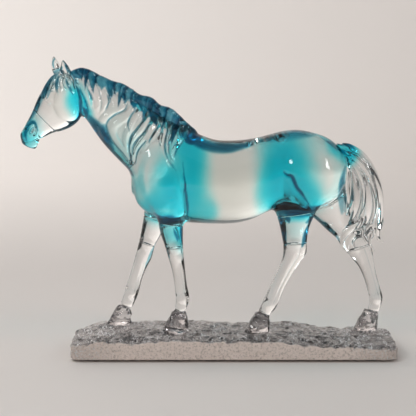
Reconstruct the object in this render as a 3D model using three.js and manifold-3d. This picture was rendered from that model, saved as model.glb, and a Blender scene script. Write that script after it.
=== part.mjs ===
// A walking horse in solid crystal, fused piece by piece from hot-worked glass, on a rough-cast slab.
// Millimetres. The horse faces -X and its right side is +Y. Z = 0 is the shelf that the rubber feet rest on.
import * as THREE from "three";
import { mergeVertices } from "three/addons/utils/BufferGeometryUtils.js";
import Module from "manifold-3d";

const wasm = await Module();
wasm.setup();

// Driving dimensions
const JOINT_GAP = 0.3; // between two pieces that are fused together
const SLAB = { left: -110, right: 151.5, halfDepth: 42, bottom: 2, corner: 9, edge: 2.5 };
const TURF = {
  crown: 20.5,
  sideDrop: 3.2,
  leftDrop: 5,
  leftLength: 24,
  rightDrop: 1.5,
  rightLength: 14,
  tailDrop: 5.2,
  tailFrom: 48,
  tailTo: 118,
};
const LUMPS = [
  { height: 0.5, lengthX: 11, lengthY: 17, shift: 0 },
  { height: 0.45, lengthX: -19, lengthY: 7, shift: 1 },
];
const RUBBER_FOOT = { radius: 6, insetX: 20, insetY: 14 };
const ROUND = { body: 18, neck: 16, head: 14, crest: 8, limb: 10, strand: 6 }; // sides of a section

const SLAB_MIDDLE = (SLAB.left + SLAB.right) / 2;

// Materials
const glass = (color, opacity) =>
  new THREE.MeshStandardMaterial({ color, opacity, transparent: true, roughness: 0.03, metalness: 0 });
const AQUA = glass(0x4fc3d4, 0.6);
const CLEAR = glass(0xe8f0ee, 0.4);
const TEAL = glass(0x0d6f8c, 0.75);
const SMOKE = glass(0x6f6a70, 0.6);
const CAST = glass(0xe6dcd6, 0.5);
const RUBBER = new THREE.MeshStandardMaterial({ color: 0x151517, roughness: 0.85, metalness: 0 });

// ---------------------------------------------------------------------------------------------------
// Solids

function solidOf(geometry) {
  geometry.deleteAttribute("normal");
  geometry.deleteAttribute("uv");
  const merged = mergeVertices(geometry, 1e-4);
  return new wasm.Manifold(
    new wasm.Mesh({
      numProp: 3,
      vertProperties: merged.getAttribute("position").array,
      triVerts: new Uint32Array(merged.index.array),
    }),
  );
}

function geometryOf(solid) {
  const mesh = solid.getMesh();
  return new THREE.BufferGeometry()
    .setAttribute("position", new THREE.BufferAttribute(mesh.vertProperties, 3))
    .setIndex(new THREE.BufferAttribute(mesh.triVerts, 1));
}

// A cut can leave chips beside the piece: only the largest body is the piece.
function largestBody(solid) {
  return solid.decompose().reduce((best, body) => (body.volume() > best.volume() ? body : best));
}

// ---------------------------------------------------------------------------------------------------
// Sections: a section is an ellipse with a centre, a half vector in the XZ plane and a half width along Y.

// Rows of [front or top x, z, rear or bottom x, z, half width, y]: the two edges of an outline.
function outline(rows) {
  return rows.map(([ax, az, bx, bz, width, y]) => ({
    centre: new THREE.Vector3((ax + bx) / 2, y, (az + bz) / 2),
    half: new THREE.Vector3((ax - bx) / 2, 0, (az - bz) / 2),
    width,
  }));
}

// Rows of [x, y, z, half height, half width] along a strand's centre line.
function strand(rows) {
  const line = new THREE.CatmullRomCurve3(rows.map(([x, y, z]) => new THREE.Vector3(x, y, z)));
  return rows.map(([, , , height, width], i) => {
    const t = i / (rows.length - 1);
    const along = line.getTangent(t);
    const half = new THREE.Vector3(along.z, 0, -along.x).normalize().multiplyScalar(height);
    return { centre: line.points[i].clone(), half, width };
  });
}

const smooth = (vectors) => new THREE.CatmullRomCurve3(vectors, false, "centripetal");

// A closed skin through the sections. dome is how far each end is rounded out past its last section,
// and grow makes the skin that much larger all over, as a cutter for the neighbouring pieces.
function skin(sections, { sides, steps = 1, dome = [0, 0], from = 0, to = 1, grow = 0 }) {
  const centres = smooth(sections.map((s) => s.centre));
  const halves = smooth(sections.map((s) => s.half));
  const widths = smooth(sections.map((s, i) => new THREE.Vector3(s.width, i, 0)));
  const count = Math.max(2, Math.round((sections.length - 1) * steps * (to - from)) + 1);
  const rings = [];
  const ring = (t, shift, scale) => {
    const centre = centres.getPoint(t).addScaledVector(centres.getTangent(t), shift);
    const half = halves.getPoint(t);
    half.setLength(half.length() * scale + grow);
    rings.push({ centre, half, width: widths.getPoint(t).x * scale + grow });
  };
  const DOME = [0.35, 0.7, 0.93]; // how far out along the dome each of its rings lies
  const domeScale = (s) => Math.sqrt(1 - s * s);
  if (dome[0]) DOME.toReversed().forEach((s) => ring(from, -s * dome[0] - grow, domeScale(s)));
  for (let i = 0; i < count; i++) {
    const end = i === 0 && !dome[0] ? -grow : i === count - 1 && !dome[1] ? grow : 0;
    ring(from + ((to - from) * i) / (count - 1), end, 1);
  }
  if (dome[1]) DOME.forEach((s) => ring(to, s * dome[1] + grow, domeScale(s)));

  const positions = [];
  const index = [];
  for (const { centre, half, width } of rings) {
    for (let k = 0; k < sides; k++) {
      const angle = (2 * Math.PI * k) / sides;
      const point = centre.clone().addScaledVector(half, Math.cos(angle));
      positions.push(point.x, point.y + width * Math.sin(angle), point.z);
    }
  }
  const cap = (r, flip) => {
    const middle = positions.length / 3;
    positions.push(...rings[r].centre.toArray());
    for (let k = 0; k < sides; k++) {
      const [a, b] = [r * sides + k, r * sides + ((k + 1) % sides)];
      index.push(middle, ...(flip ? [b, a] : [a, b]));
    }
  };
  for (let r = 0; r + 1 < rings.length; r++) {
    for (let k = 0; k < sides; k++) {
      const [a, b] = [r * sides + k, r * sides + ((k + 1) % sides)];
      index.push(a, a + sides, b, b, a + sides, b + sides);
    }
  }
  cap(0, false);
  cap(rings.length - 1, true);
  const geometry = new THREE.BufferGeometry()
    .setAttribute("position", new THREE.Float32BufferAttribute(positions, 3))
    .setIndex(index);
  const solid = solidOf(geometry);
  if (solid.volume() > 0) return solid;
  for (let i = 0; i < index.length; i += 3) [index[i + 1], index[i + 2]] = [index[i + 2], index[i + 1]];
  return solidOf(geometry.setIndex(index));
}

// ---------------------------------------------------------------------------------------------------
// The slab: straight sides, rounded corners and a top like rough ground, highest under the forelegs

const ramp = (x, from, to) => THREE.MathUtils.smoothstep(x, Math.min(from, to), Math.max(from, to));

function turf(x, y) {
  const side = (Math.abs(y) / SLAB.halfDepth) ** 3;
  const leftEnd = 1 - ramp(x, SLAB.left, SLAB.left + TURF.leftLength);
  const rightEnd = ramp(x, SLAB.right - TURF.rightLength, SLAB.right);
  const tailEnd = ramp(x, TURF.tailFrom, TURF.tailTo);
  let height = TURF.crown - TURF.sideDrop * side;
  height -= TURF.leftDrop * leftEnd + TURF.rightDrop * rightEnd + TURF.tailDrop * tailEnd;
  for (const lump of LUMPS) {
    height += lump.height * Math.sin(x / lump.lengthX + y / lump.lengthY + lump.shift);
  }
  return height;
}

// Half the slab's depth at x: it shrinks along a quarter circle at each end.
function halfDepthAt(x) {
  const inset = Math.max(0, SLAB.corner - Math.min(x - SLAB.left, SLAB.right - x));
  return SLAB.halfDepth - SLAB.corner + Math.sqrt(Math.max(0, SLAB.corner ** 2 - inset ** 2));
}

function slab({ grow = 0 }) {
  const LENGTHWISE = 26;
  const ACROSS = 6;
  const positions = [];
  const index = [];
  for (let i = 0; i <= LENGTHWISE; i++) {
    const x = SLAB_MIDDLE - ((SLAB.right - SLAB.left) / 2) * Math.cos((Math.PI * i) / LENGTHWISE);
    const depth = halfDepthAt(x);
    const rim = (side) => [x, side * depth, turf(x, side * depth) - SLAB.edge];
    const rows = [[x, -depth, SLAB.bottom], rim(-1)];
    for (let j = 0; j <= ACROSS; j++) {
      const y = (depth - SLAB.edge) * ((2 * j) / ACROSS - 1);
      rows.push([x, y, turf(x, y) + grow]);
    }
    rows.push(rim(1), [x, depth, SLAB.bottom]);
    rows.forEach((point) => positions.push(...point));
  }
  const across = positions.length / 3 / (LENGTHWISE + 1);
  for (let i = 0; i < LENGTHWISE; i++) {
    for (let j = 0; j < across; j++) {
      const [a, b] = [i * across + j, i * across + ((j + 1) % across)];
      index.push(a, a + across, b, b, a + across, b + across);
    }
  }
  for (let j = 1; j + 1 < across; j++) {
    const last = LENGTHWISE * across;
    index.push(0, j, j + 1, last, last + j + 1, last + j);
  }
  const geometry = new THREE.BufferGeometry()
    .setAttribute("position", new THREE.Float32BufferAttribute(positions, 3))
    .setIndex(index);
  return solidOf(geometry);
}

// ---------------------------------------------------------------------------------------------------
// The horse's outlines, from the front or top edge to the rear or bottom edge

const TORSO = outline([
  [-60, 142, -60, 130, 8, 0],
  [-56, 156, -56.5, 121.5, 16, 0],
  [-48, 169, -48, 114, 21.5, 0],
  [-36, 178, -36, 109.3, 25, 0],
  [-22, 183, -22, 107.5, 27.5, 0],
  [-9, 179, -9, 106.5, 29.5, 0],
  [6, 174, 6, 106, 31, 0],
  [22, 173.5, 22, 106.5, 31.5, 0],
  [36, 175, 36, 110, 31, 0],
  [48.5, 178, 48.5, 116, 30.5, 0],
  [60, 181, 60, 119.5, 31, 0],
  [72, 182, 72, 121, 31.5, 0],
  [84, 180, 84, 121.5, 31, 0],
  [95.5, 176, 96, 123, 28, 0],
  [104, 170, 104.5, 128, 22.5, 0],
  [109, 163, 109.5, 136, 14.5, 0],
]);
const NECK = outline([
  [-110, 223, -107.5, 200.5, 8, 0],
  [-103, 226, -103, 194, 9.5, 0],
  [-95.5, 226, -98.5, 190.8, 10.5, 0],
  [-86, 221, -92.5, 182.2, 11.5, 0],
  [-75.5, 216, -86, 173, 12.5, 0],
  [-64, 210, -79.2, 165, 14, 0],
  [-52.5, 203, -72, 157.4, 16.5, 0],
  [-41, 195.5, -64.4, 149.4, 19.5, 0],
  [-30, 189, -59.5, 140.5, 22.5, 0],
  [-19, 180, -53, 129, 24.5, 0],
]);
const HEAD = outline([
  [-117.5, 230, -107.5, 220.5, 6, 0],
  [-122, 228, -103.5, 210, 9.5, 0],
  [-127.5, 222.5, -102, 201, 11, 0],
  [-132, 216, -102.8, 191.5, 10.5, 0],
  [-136, 209, -109.2, 185, 9, 0],
  [-139, 202.5, -117.5, 181.3, 8, 0],
  [-142, 195.5, -125, 179.5, 7, 0],
  [-145.5, 189, -130.5, 177, 6.5, 0],
  [-148.5, 183.5, -135.5, 174.5, 6.8, 0],
  [-151.4, 178, -137, 171, 6.3, 0],
  [-150.4, 172.2, -138.6, 167.4, 4.6, 0],
]);
const MUZZLE_FROM = 0.57; // the share of the head's length where the muzzle piece starts
const LEGS = {
  left_fore: {
    seam: 0.5,
    leg: [
      [-46.5, 138.5, -19, 138.5, 12, -13],
      [-43.5, 124, -19, 124, 11.5, -13.5],
      [-40.5, 112, -19.5, 113.5, 10, -14],
      [-38.5, 101, -20, 102.5, 8.2, -14.5],
      [-35, 90.5, -20, 91, 6.8, -15],
      [-32, 80.5, -19.5, 81.5, 6.2, -15],
      [-29, 70, -18.5, 71, 5.2, -15],
      [-27, 58, -17, 58, 4.8, -15],
      [-26, 46.5, -15, 47, 5.3, -15],
      [-26.5, 38, -17.5, 37.5, 4.9, -15],
    ],
    hoof: [
      [-28, 37, -17.5, 35.5, 5.6, -15],
      [-32.5, 29, -16.5, 28.5, 7.6, -15],
      [-38, 18, -16, 17.5, 9, -15],
    ],
  },
  right_fore: {
    seam: 0.45,
    leg: [
      [-49, 138, -25, 134, 11.5, 13],
      [-51, 123.5, -29.5, 119.5, 11, 13.5],
      [-52.5, 112.5, -33.5, 106, 9.5, 14],
      [-54.5, 100.5, -38.5, 95, 8, 14.5],
      [-56.5, 90.5, -43.5, 86, 6.6, 15],
      [-59, 80.5, -46.5, 75.5, 6.1, 15],
      [-62, 69.5, -51, 66.5, 5.2, 15],
      [-65.5, 58.5, -55, 56, 4.8, 15],
      [-69, 47, -58, 44.5, 5.3, 15],
      [-72, 38, -62.5, 34.5, 4.9, 15],
    ],
    hoof: [
      [-74.5, 36, -63.5, 31.5, 5.6, 15],
      [-79, 28.5, -63.5, 26.5, 7.6, 15],
      [-85.5, 18, -64, 17, 9, 15],
    ],
  },
  left_hind: {
    seam: 0.51,
    leg: [
      [60, 154.5, 102, 149, 15, -14],
      [55, 137, 99, 134.5, 15, -15],
      [53.5, 123, 91, 124, 13, -15.5],
      [55, 114.5, 85, 114, 10.6, -15.5],
      [57.5, 105.5, 81, 104, 8.8, -15.5],
      [59.5, 96, 79.5, 94.5, 7.2, -15.5],
      [60.5, 87, 79, 84, 6.4, -15.5],
      [59.5, 79, 73.5, 76, 5.6, -15.5],
      [55.5, 70, 67.5, 66.5, 5, -15.5],
      [49, 55.5, 60.5, 53, 4.8, -15.5],
      [43.5, 43, 55.5, 40.5, 5.4, -15.5],
      [40.5, 36.5, 50, 33.5, 4.9, -15.5],
    ],
    hoof: [
      [38.5, 36, 49.5, 32.5, 5.6, -15.5],
      [34, 28.5, 49.5, 27, 7.6, -15.5],
      [28, 17.5, 49, 16.5, 9, -15.5],
    ],
  },
  right_hind: {
    seam: 0.51,
    leg: [
      [75.5, 132, 111, 146.5, 14, 13],
      [82, 117.5, 113, 132, 12.5, 14],
      [89.5, 106.5, 115.5, 118.5, 10.6, 14.5],
      [98, 98.5, 119, 108.5, 9, 15],
      [105.5, 92, 126, 101, 7.6, 15],
      [110.5, 84.5, 132.5, 92.5, 6.9, 15],
      [117.5, 76.5, 135.5, 81.5, 6.2, 15],
      [124, 68.5, 137, 71.5, 5.4, 15],
      [128.5, 59.5, 139, 62, 5, 15],
      [131.5, 49.5, 142, 51.5, 4.8, 15],
      [133.5, 41, 144.5, 42, 5.4, 15],
      [132.5, 33.5, 142, 31, 4.9, 15],
    ],
    hoof: [
      [129.5, 32.5, 141, 29, 5.6, 15],
      [124.5, 24, 140.5, 23, 7.6, 15],
      [118, 12.5, 140, 12, 9, 15],
    ],
  },
};
const EARS = {
  left_ear: [
    [-112.5, -6, 222, 2.8, 2.2],
    [-113.3, -6.8, 227, 4.1, 2.7],
    [-114.2, -7.2, 231.5, 3.6, 2.2],
    [-115.2, -7, 235.5, 2, 1.4],
  ],
  right_ear: [
    [-121.5, 6, 226, 2.4, 2],
    [-122.5, 6.8, 231, 3.6, 2.5],
    [-123.5, 7, 235, 2.8, 2],
    [-124.2, 6.8, 238.5, 1.5, 1.2],
  ],
};

// The mane: a ridge along the crest, and locks that hang from it down the left side of the neck
const CREST = strand([
  [-109, 0, 226, 3.6, 4.5],
  [-102, 0, 228, 4, 5],
  [-95.5, 0, 226.3, 4, 5],
  [-88, 0, 222.2, 4, 5],
  [-78, 0, 217.8, 4, 5.2],
  [-70, 0, 215.4, 4.2, 5.2],
  [-63.5, 0, 211.5, 4.2, 5.4],
  [-56, 0, 206.8, 4, 5.4],
  [-47.5, 0, 204.2, 4.6, 5.6],
  [-40.5, 0, 198.2, 4.6, 5.6],
  [-33, 0, 195.8, 4.8, 5.6],
  [-27, 0, 191.6, 4.6, 5.2],
  [-20, 0, 185, 4.4, 4.8],
  [-12, 0, 179.4, 3.4, 4],
]);
const LOCKS = [
  [[-101, -6, 225], [-98, -9.5, 218], [-95, -11, 211], [-93.5, -11.5, 204]],
  [[-92, -6, 223], [-89.5, -10, 215.5], [-88.5, -11.5, 207.5], [-90.5, -12, 200]],
  [[-84, -6, 219], [-81, -10.5, 211], [-80.5, -12.5, 202], [-82.5, -13, 194]],
  [[-75, -6, 215.5], [-72, -10.5, 207.5], [-73, -13, 199.5], [-78, -13.5, 191], [-83, -13.5, 183]],
  [[-66, -6, 212], [-64.5, -11, 203.5], [-68, -14, 195], [-75, -14.5, 187.5], [-77, -14.5, 178], [-72, -15, 169], [-66, -14.5, 161]],
  [[-58, -6, 207.5], [-58.5, -12, 198.5], [-63, -15, 189.5], [-66.5, -16, 180], [-65, -17, 170.5], [-61, -17, 162]],
  [[-50.5, -6.5, 203], [-51.5, -12.5, 193.5], [-56, -16, 184], [-60, -18, 174.5], [-60, -19, 164], [-60.5, -17.5, 154]],
  [[-43.5, -6.5, 199], [-44, -13, 189.5], [-47.5, -17, 180.5], [-52.5, -19.5, 171]],
  [[-35.5, -6.5, 195], [-34, -14, 185.5], [-35.5, -19, 175.5], [-34.5, -22.5, 165], [-30, -24.5, 155]],
  [[-26, -6, 188], [-23.5, -14.5, 180.5], [-22.5, -20.5, 172.5], [-26, -24, 164.5]],
];
const LOCK = { thickness: 2.4, width: 4.2, tip: 0.22 };
const FORELOCK = strand([
  [-115, -3.5, 229.5, 3, 3],
  [-121.5, -5, 224, 3.4, 3.4],
  [-126.5, -6.5, 217, 2.8, 2.8],
  [-130.5, -7, 210, 1.8, 1.8],
  [-132.5, -7, 204, 0.8, 0.9],
]);

// The tail: a dock with strands that sweep out and down to the hocks
const TAIL = {
  tail_dock: [
    [103, -1, 168, 3.6, 4.6], [109.5, -1.5, 165, 4.4, 4.8], [114.5, -2, 158.5, 4.2, 4.6], [116.8, -2, 149.5, 2.2, 2.8],
  ],
  tail_strand_outer: [
    [111.5, -2, 168.5, 2, 3.6], [123, -2.5, 160, 3.4, 4.6], [132, -3, 147.5, 3.8, 5], [137.8, -3, 132.5, 3.8, 4.8],
    [138.8, -3, 118.5, 3.2, 4], [137.2, -3, 105, 2.4, 3], [137.5, -3, 93.5, 0.9, 1.4],
  ],
  tail_strand_upper: [
    [115, -2, 162.5, 2, 4], [121.5, -3, 154, 3.6, 5.4], [127, -3.5, 142.5, 4.4, 5.6], [129.8, -3.5, 129, 4.6, 5.4],
    [129, -3.5, 115.5, 4.2, 4.6], [125, -3.5, 105, 3.2, 3.6], [119.5, -3, 98, 1.1, 1.8],
  ],
  tail_strand_middle: [
    [117, -2, 155.5, 2, 3.6], [119.5, -3, 147, 3, 4.6], [121.3, -3.5, 137, 3.6, 4.8], [121.3, -3.5, 126, 3.8, 4.6],
    [119, -3.5, 115.5, 3.2, 4], [115, -3, 106.5, 1.4, 2],
  ],
  tail_strand_inner: [
    [114.8, -2, 148, 1.4, 2.2], [115.4, -2.5, 140, 2.4, 3.4], [115, -3, 131, 2.6, 3.6], [113.8, -3, 122, 2, 2.8],
    [112.5, -3, 114, 0.9, 1.6],
  ],
  tail_wisp: [
    [136.8, -4, 100, 1.4, 1.8], [132.5, -4, 96.5, 1.8, 2], [131.2, -4, 90, 1.4, 1.6], [134.5, -4, 84.5, 0.8, 0.9],
  ],
};

// ---------------------------------------------------------------------------------------------------
// The pieces, in the order they are fused: a later piece is cut to fit the ones before it

const pieces = [];
const add = (name, material, make) => pieces.push({ name, material, make });
const addSkin = (name, material, sections, options) =>
  add(name, material, ({ grow = 0 }) => skin(sections, { ...options, grow }));

const body = { sides: ROUND.body };
const limb = { sides: ROUND.limb };
const thin = { sides: ROUND.strand };

add("slab", CAST, slab);
addSkin("torso", AQUA, TORSO, { sides: ROUND.body, dome: [2.5, 3] });
addSkin("head", AQUA, HEAD, { sides: ROUND.head, dome: [2, 0], to: MUZZLE_FROM });
addSkin("muzzle", TEAL, HEAD, { sides: ROUND.head, dome: [0, 2.2], from: MUZZLE_FROM });
addSkin("neck", AQUA, NECK, { sides: ROUND.neck });
for (const [name, { seam, leg, hoof }] of Object.entries(LEGS)) {
  addSkin(`${name}_hoof`, SMOKE, outline(hoof), { sides: ROUND.limb, dome: [1.2, 0] });
  addSkin(`${name}_upper_leg`, AQUA, outline(leg), { sides: ROUND.limb, to: seam });
  addSkin(`${name}_lower_leg`, CLEAR, outline(leg), { sides: ROUND.limb, from: seam, dome: [0, 1] });
}
for (const [name, rows] of Object.entries(EARS)) {
  addSkin(name, CLEAR, strand(rows), { sides: ROUND.crest, dome: [0, 2.6] });
}
addSkin("mane_crest", TEAL, CREST, { sides: ROUND.crest, dome: [3, 3] });
addSkin("forelock", TEAL, FORELOCK, { sides: ROUND.strand, dome: [1, 1] });
LOCKS.forEach((path, i) => {
  const rows = path.map((point, k) => {
    const taper = 1 - (1 - LOCK.tip) * (k / (path.length - 1)) ** 2;
    return [...point, LOCK.width * taper, LOCK.thickness * taper];
  });
  addSkin(`mane_lock_${i + 1}`, CLEAR, strand(rows), { sides: ROUND.strand, dome: [0.8, 1] });
});
for (const [name, rows] of Object.entries(TAIL)) {
  addSkin(name, name === "tail_dock" ? TEAL : CLEAR, strand(rows), { sides: ROUND.strand, dome: [1, 1] });
}

function rubberFoot(x, y) {
  const geometry = new THREE.CylinderGeometry(RUBBER_FOOT.radius, RUBBER_FOOT.radius, SLAB.bottom, 24);
  return solidOf(geometry.rotateX(Math.PI / 2).translate(x, y, SLAB.bottom / 2));
}
const FOOT_NAMES = [["front_left", "back_left"], ["front_right", "back_right"]];
[-1, 1].forEach((sideX, i) =>
  [-1, 1].forEach((sideY, j) => {
    const x = SLAB_MIDDLE + sideX * ((SLAB.right - SLAB.left) / 2 - RUBBER_FOOT.insetX);
    const y = sideY * (SLAB.halfDepth - RUBBER_FOOT.insetY);
    add(`rubber_foot_${FOOT_NAMES[i][j]}`, RUBBER, () => rubberFoot(x, y));
  }),
);

const figurine = new THREE.Group();
figurine.name = "crystal_horse_figurine";
const cutters = [];
for (const { name, material, make } of pieces) {
  let solid = make({});
  if (material !== RUBBER) {
    for (const cutter of cutters) solid = solid.subtract(cutter);
    cutters.push(make({ grow: JOINT_GAP }));
  }
  const mesh = new THREE.Mesh(geometryOf(largestBody(solid)), material);
  mesh.name = name;
  figurine.add(mesh);
}

export default figurine;
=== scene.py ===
# Looks of the crystal horse figurine. The shapes are modelled in millimetres as distance fields, where a
# number says how far a place is outside the glass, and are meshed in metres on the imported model's frame.
import math

import bmesh
import bpy
import numpy as np
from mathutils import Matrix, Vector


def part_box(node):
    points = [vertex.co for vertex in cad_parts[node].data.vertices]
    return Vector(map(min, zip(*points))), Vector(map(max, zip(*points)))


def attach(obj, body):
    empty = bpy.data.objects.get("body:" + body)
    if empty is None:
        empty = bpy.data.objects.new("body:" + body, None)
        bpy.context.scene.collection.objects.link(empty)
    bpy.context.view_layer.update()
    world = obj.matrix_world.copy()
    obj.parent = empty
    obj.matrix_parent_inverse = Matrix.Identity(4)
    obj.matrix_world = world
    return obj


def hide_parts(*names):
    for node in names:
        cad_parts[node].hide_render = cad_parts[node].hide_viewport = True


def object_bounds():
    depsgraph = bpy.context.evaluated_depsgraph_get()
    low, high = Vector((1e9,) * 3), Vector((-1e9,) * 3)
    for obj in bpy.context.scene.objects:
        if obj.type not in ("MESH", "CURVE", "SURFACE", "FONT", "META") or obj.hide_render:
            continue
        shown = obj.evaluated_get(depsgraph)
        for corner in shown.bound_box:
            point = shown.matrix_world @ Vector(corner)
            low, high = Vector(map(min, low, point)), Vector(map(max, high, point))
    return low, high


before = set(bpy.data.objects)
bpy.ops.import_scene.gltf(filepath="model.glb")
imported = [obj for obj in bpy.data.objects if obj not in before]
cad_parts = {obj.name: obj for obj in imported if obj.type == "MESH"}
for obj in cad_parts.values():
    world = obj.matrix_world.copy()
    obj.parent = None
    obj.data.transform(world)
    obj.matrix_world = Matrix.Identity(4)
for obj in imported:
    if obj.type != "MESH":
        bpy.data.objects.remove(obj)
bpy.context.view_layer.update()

import openvdb as vdb
from mathutils import Vector

MM = 0.001
BODY = "root"
CAMERA_PLACE = (0, -1.142, 0.2476)  # m
CAMERA_DIP = 6.45  # degrees below level
LENS = 122.6
SENSOR = 36
FINE = 1.0
BAND = 9.0  # distances are known this far from a surface, mm
JOINT_GAP = 0.12  # from the middle of a joint to the glass on either side, mm
HOLLOW_STEP = 1.1  # how far apart the skin's height is compared to find its hollows, mm
HOLLOW_LOW = 0.04  # mean rise around a spot where a hollow starts to count, mm
HOLLOW_HIGH = 0.22  # and where it counts in full, mm
RELIEF_REACH = 3.0  # relief shapes the glass this close to its surface, mm
FAR = 1e9  # farther than anything, mm
DOME_STEPS = 6  # rings that round out the end of a loft, with its last full section
DOME_TIP = 0.03  # size of the last ring, as a share of that section
PATH_STEPS = 8  # straight steps in a path, from one of its points to the next
LATTICE_SIZE = 32
LATTICE = np.random.default_rng(7).random((LATTICE_SIZE,) * 3)  # the random values that clouds are made of


def add_camera():
    data = bpy.data.cameras.new("camera")
    data.lens = LENS
    data.sensor_width = SENSOR
    data.dof.use_dof = False
    camera = bpy.data.objects.new("camera", data)
    camera.location = CAMERA_PLACE
    camera.rotation_euler = (math.radians(90 - CAMERA_DIP), 0, 0)
    bpy.context.collection.objects.link(camera)
    bpy.context.scene.camera = camera


add_camera()


# ---------------------------------------------------------------------------------------------------
# Fields

class Block:
    """A box of space cut into small cubes, with a distance at each corner."""

    def __init__(self, low, high, pitch):
        self.pitch = pitch * FINE
        self.first = np.floor(np.array(low) / self.pitch).astype(int)
        self.shape = np.ceil(np.array(high) / self.pitch).astype(int) - self.first + 1
        axes = [(self.first[k] + np.arange(self.shape[k])) * self.pitch for k in range(3)]
        self.x, self.y, self.z = (a.astype(np.float32) for a in np.ix_(*axes))

    def solid(self, skin):
        """The distance field of a closed skin."""
        points, quads = skin
        grid = vdb.FloatGrid.createLevelSetFromPolygons(
            points.astype(np.float32),
            quads=quads.astype(np.uint32),
            transform=vdb.createLinearTransform(voxelSize=self.pitch),
            halfWidth=BAND / self.pitch,
        )
        field = np.empty(self.shape, np.float32)
        grid.copyToArray(field, ijk=tuple(int(i) for i in self.first))
        return field

    def surface(self, field):
        """Points and quads of the surface where the field is zero, facing out."""
        grid = vdb.FloatGrid(BAND)
        grid.copyFromArray(np.ascontiguousarray(field), ijk=tuple(int(i) for i in self.first))
        grid.transform = vdb.createLinearTransform(voxelSize=self.pitch)
        points, quads = grid.convertToQuads(isovalue=0.0)
        return points.astype(float), quads[:, ::-1]

    def sample(self, field, points):
        """The field's value at each point."""
        place = points / self.pitch - self.first
        low = np.clip(np.floor(place).astype(int), 0, self.shape - 2)
        share = place - low
        value = np.zeros(len(points))
        for corner in np.ndindex(2, 2, 2):
            weight = np.prod(np.where(corner, share, 1 - share), axis=1)
            value += weight * field[tuple((low + corner).T)]
        return value

    def slope(self, field, points):
        """The direction in which the field grows, at each point."""
        steps = np.eye(3) * self.pitch * 0.8
        rise = [self.sample(field, points + s) - self.sample(field, points - s) for s in steps]
        rise = np.stack(rise, axis=1)
        return rise / np.maximum(np.linalg.norm(rise, axis=1, keepdims=True), 1e-9)


def hollows(block, field, points):
    """How sharply the skin is hollowed at each point, from 0 to 1."""
    steps = np.eye(3) * HOLLOW_STEP
    rise = sum(block.sample(field, points + s) + block.sample(field, points - s) for s in steps) / 6
    return np.clip((-rise - HOLLOW_LOW) / (HOLLOW_HIGH - HOLLOW_LOW), 0, 1)


def fuse(first, second, melt):
    """Two solids in one, with the corner between them filled by a fillet about as wide as melt."""
    near = np.maximum(melt - np.abs(first - second), 0)
    return np.minimum(first, second) - near * near / (4 * melt)


def carve(field, tool, melt):
    """A solid with a tool's shape taken out of it."""
    return -fuse(-field, tool, melt)


def melt_over(field):
    """Rounds the field slightly, as fire polishing does."""
    for axis in range(3):
        padded = np.pad(field, [(1, 1) if k == axis else (0, 0) for k in range(3)], mode="edge")
        low, high = (np.take(padded, range(s, s + field.shape[axis]), axis) for s in (0, 2))
        field = 0.5 * field + 0.25 * (low + high)
    return field


def near_surface(block, field, relief):
    """Adds relief(x, y, z) to a field where it is close to its surface."""
    spots = np.nonzero(np.abs(field) < RELIEF_REACH)
    raised = field.copy()
    raised[spots] -= relief(block.x[spots[0], 0, 0], block.y[0, spots[1], 0], block.z[0, 0, spots[2]])
    return raised


def cloud(x, y, z, size, seed=0):
    """Smooth random values from -1 to 1, in lumps of the given size along each axis."""
    cells = []
    for k, (value, step) in enumerate(zip((x, y, z), size)):
        place = value / step + 11.3 * seed + 5.1 * k
        low = np.floor(place).astype(int)
        share = step_up(place - low, 0, 1)
        cells.append((low % LATTICE_SIZE, (low + 1) % LATTICE_SIZE, share))
    total = 0
    for corner in np.ndindex(2, 2, 2):
        weight = 1
        for (_, _, share), far in zip(cells, corner):
            weight = weight * (share if far else 1 - share)
        total = total + weight * LATTICE[tuple(cell[far] for cell, far in zip(cells, corner))]
    return 2 * total - 1


def step_up(value, low, high):
    """Rises smoothly from 0 at low to 1 at high."""
    share = np.clip((value - low) / (high - low), 0, 1)
    return share * share * (3 - 2 * share)


# ---------------------------------------------------------------------------------------------------
# Skins lofted through sections. A section is [centre x, y, z, half vector x, z, half width].

def outline(rows):
    """Sections from rows of [front or top x, z, rear or bottom x, z, half width, y]."""
    ax, az, bx, bz, width, y = np.array(rows, float).T
    return np.stack([(ax + bx) / 2, y, (az + bz) / 2, (ax - bx) / 2, (az - bz) / 2, width], axis=1)


def strand(rows):
    """Sections from rows of [x, y, z, half height, half width] along a centre line."""
    rows = np.array(rows, float)
    run = np.gradient(rows[:, [0, 2]], axis=0)
    run /= np.linalg.norm(run, axis=1, keepdims=True)
    across = np.stack([run[:, 1], -run[:, 0]], axis=1) * rows[:, 3:4]
    return np.concatenate([rows[:, :3], across, rows[:, 4:5]], axis=1)


def smooth_rows(rows, per_row):
    """Catmull-Rom rows through the given ones."""
    rows = np.asarray(rows, float)
    padded = np.concatenate([[2 * rows[0] - rows[1]], rows, [2 * rows[-1] - rows[-2]]])
    place = np.linspace(0, len(rows) - 1, (len(rows) - 1) * per_row + 1)
    start = np.minimum(place.astype(int), len(rows) - 2)
    t = (place - start)[:, None]
    p0, p1, p2, p3 = (padded[start + k] for k in range(4))
    square = 2 * p0 - 5 * p1 + 4 * p2 - p3
    cube = 3 * (p1 - p2) + p3 - p0
    return 0.5 * (2 * p1 + (p2 - p0) * t + square * t**2 + cube * t**3)


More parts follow.
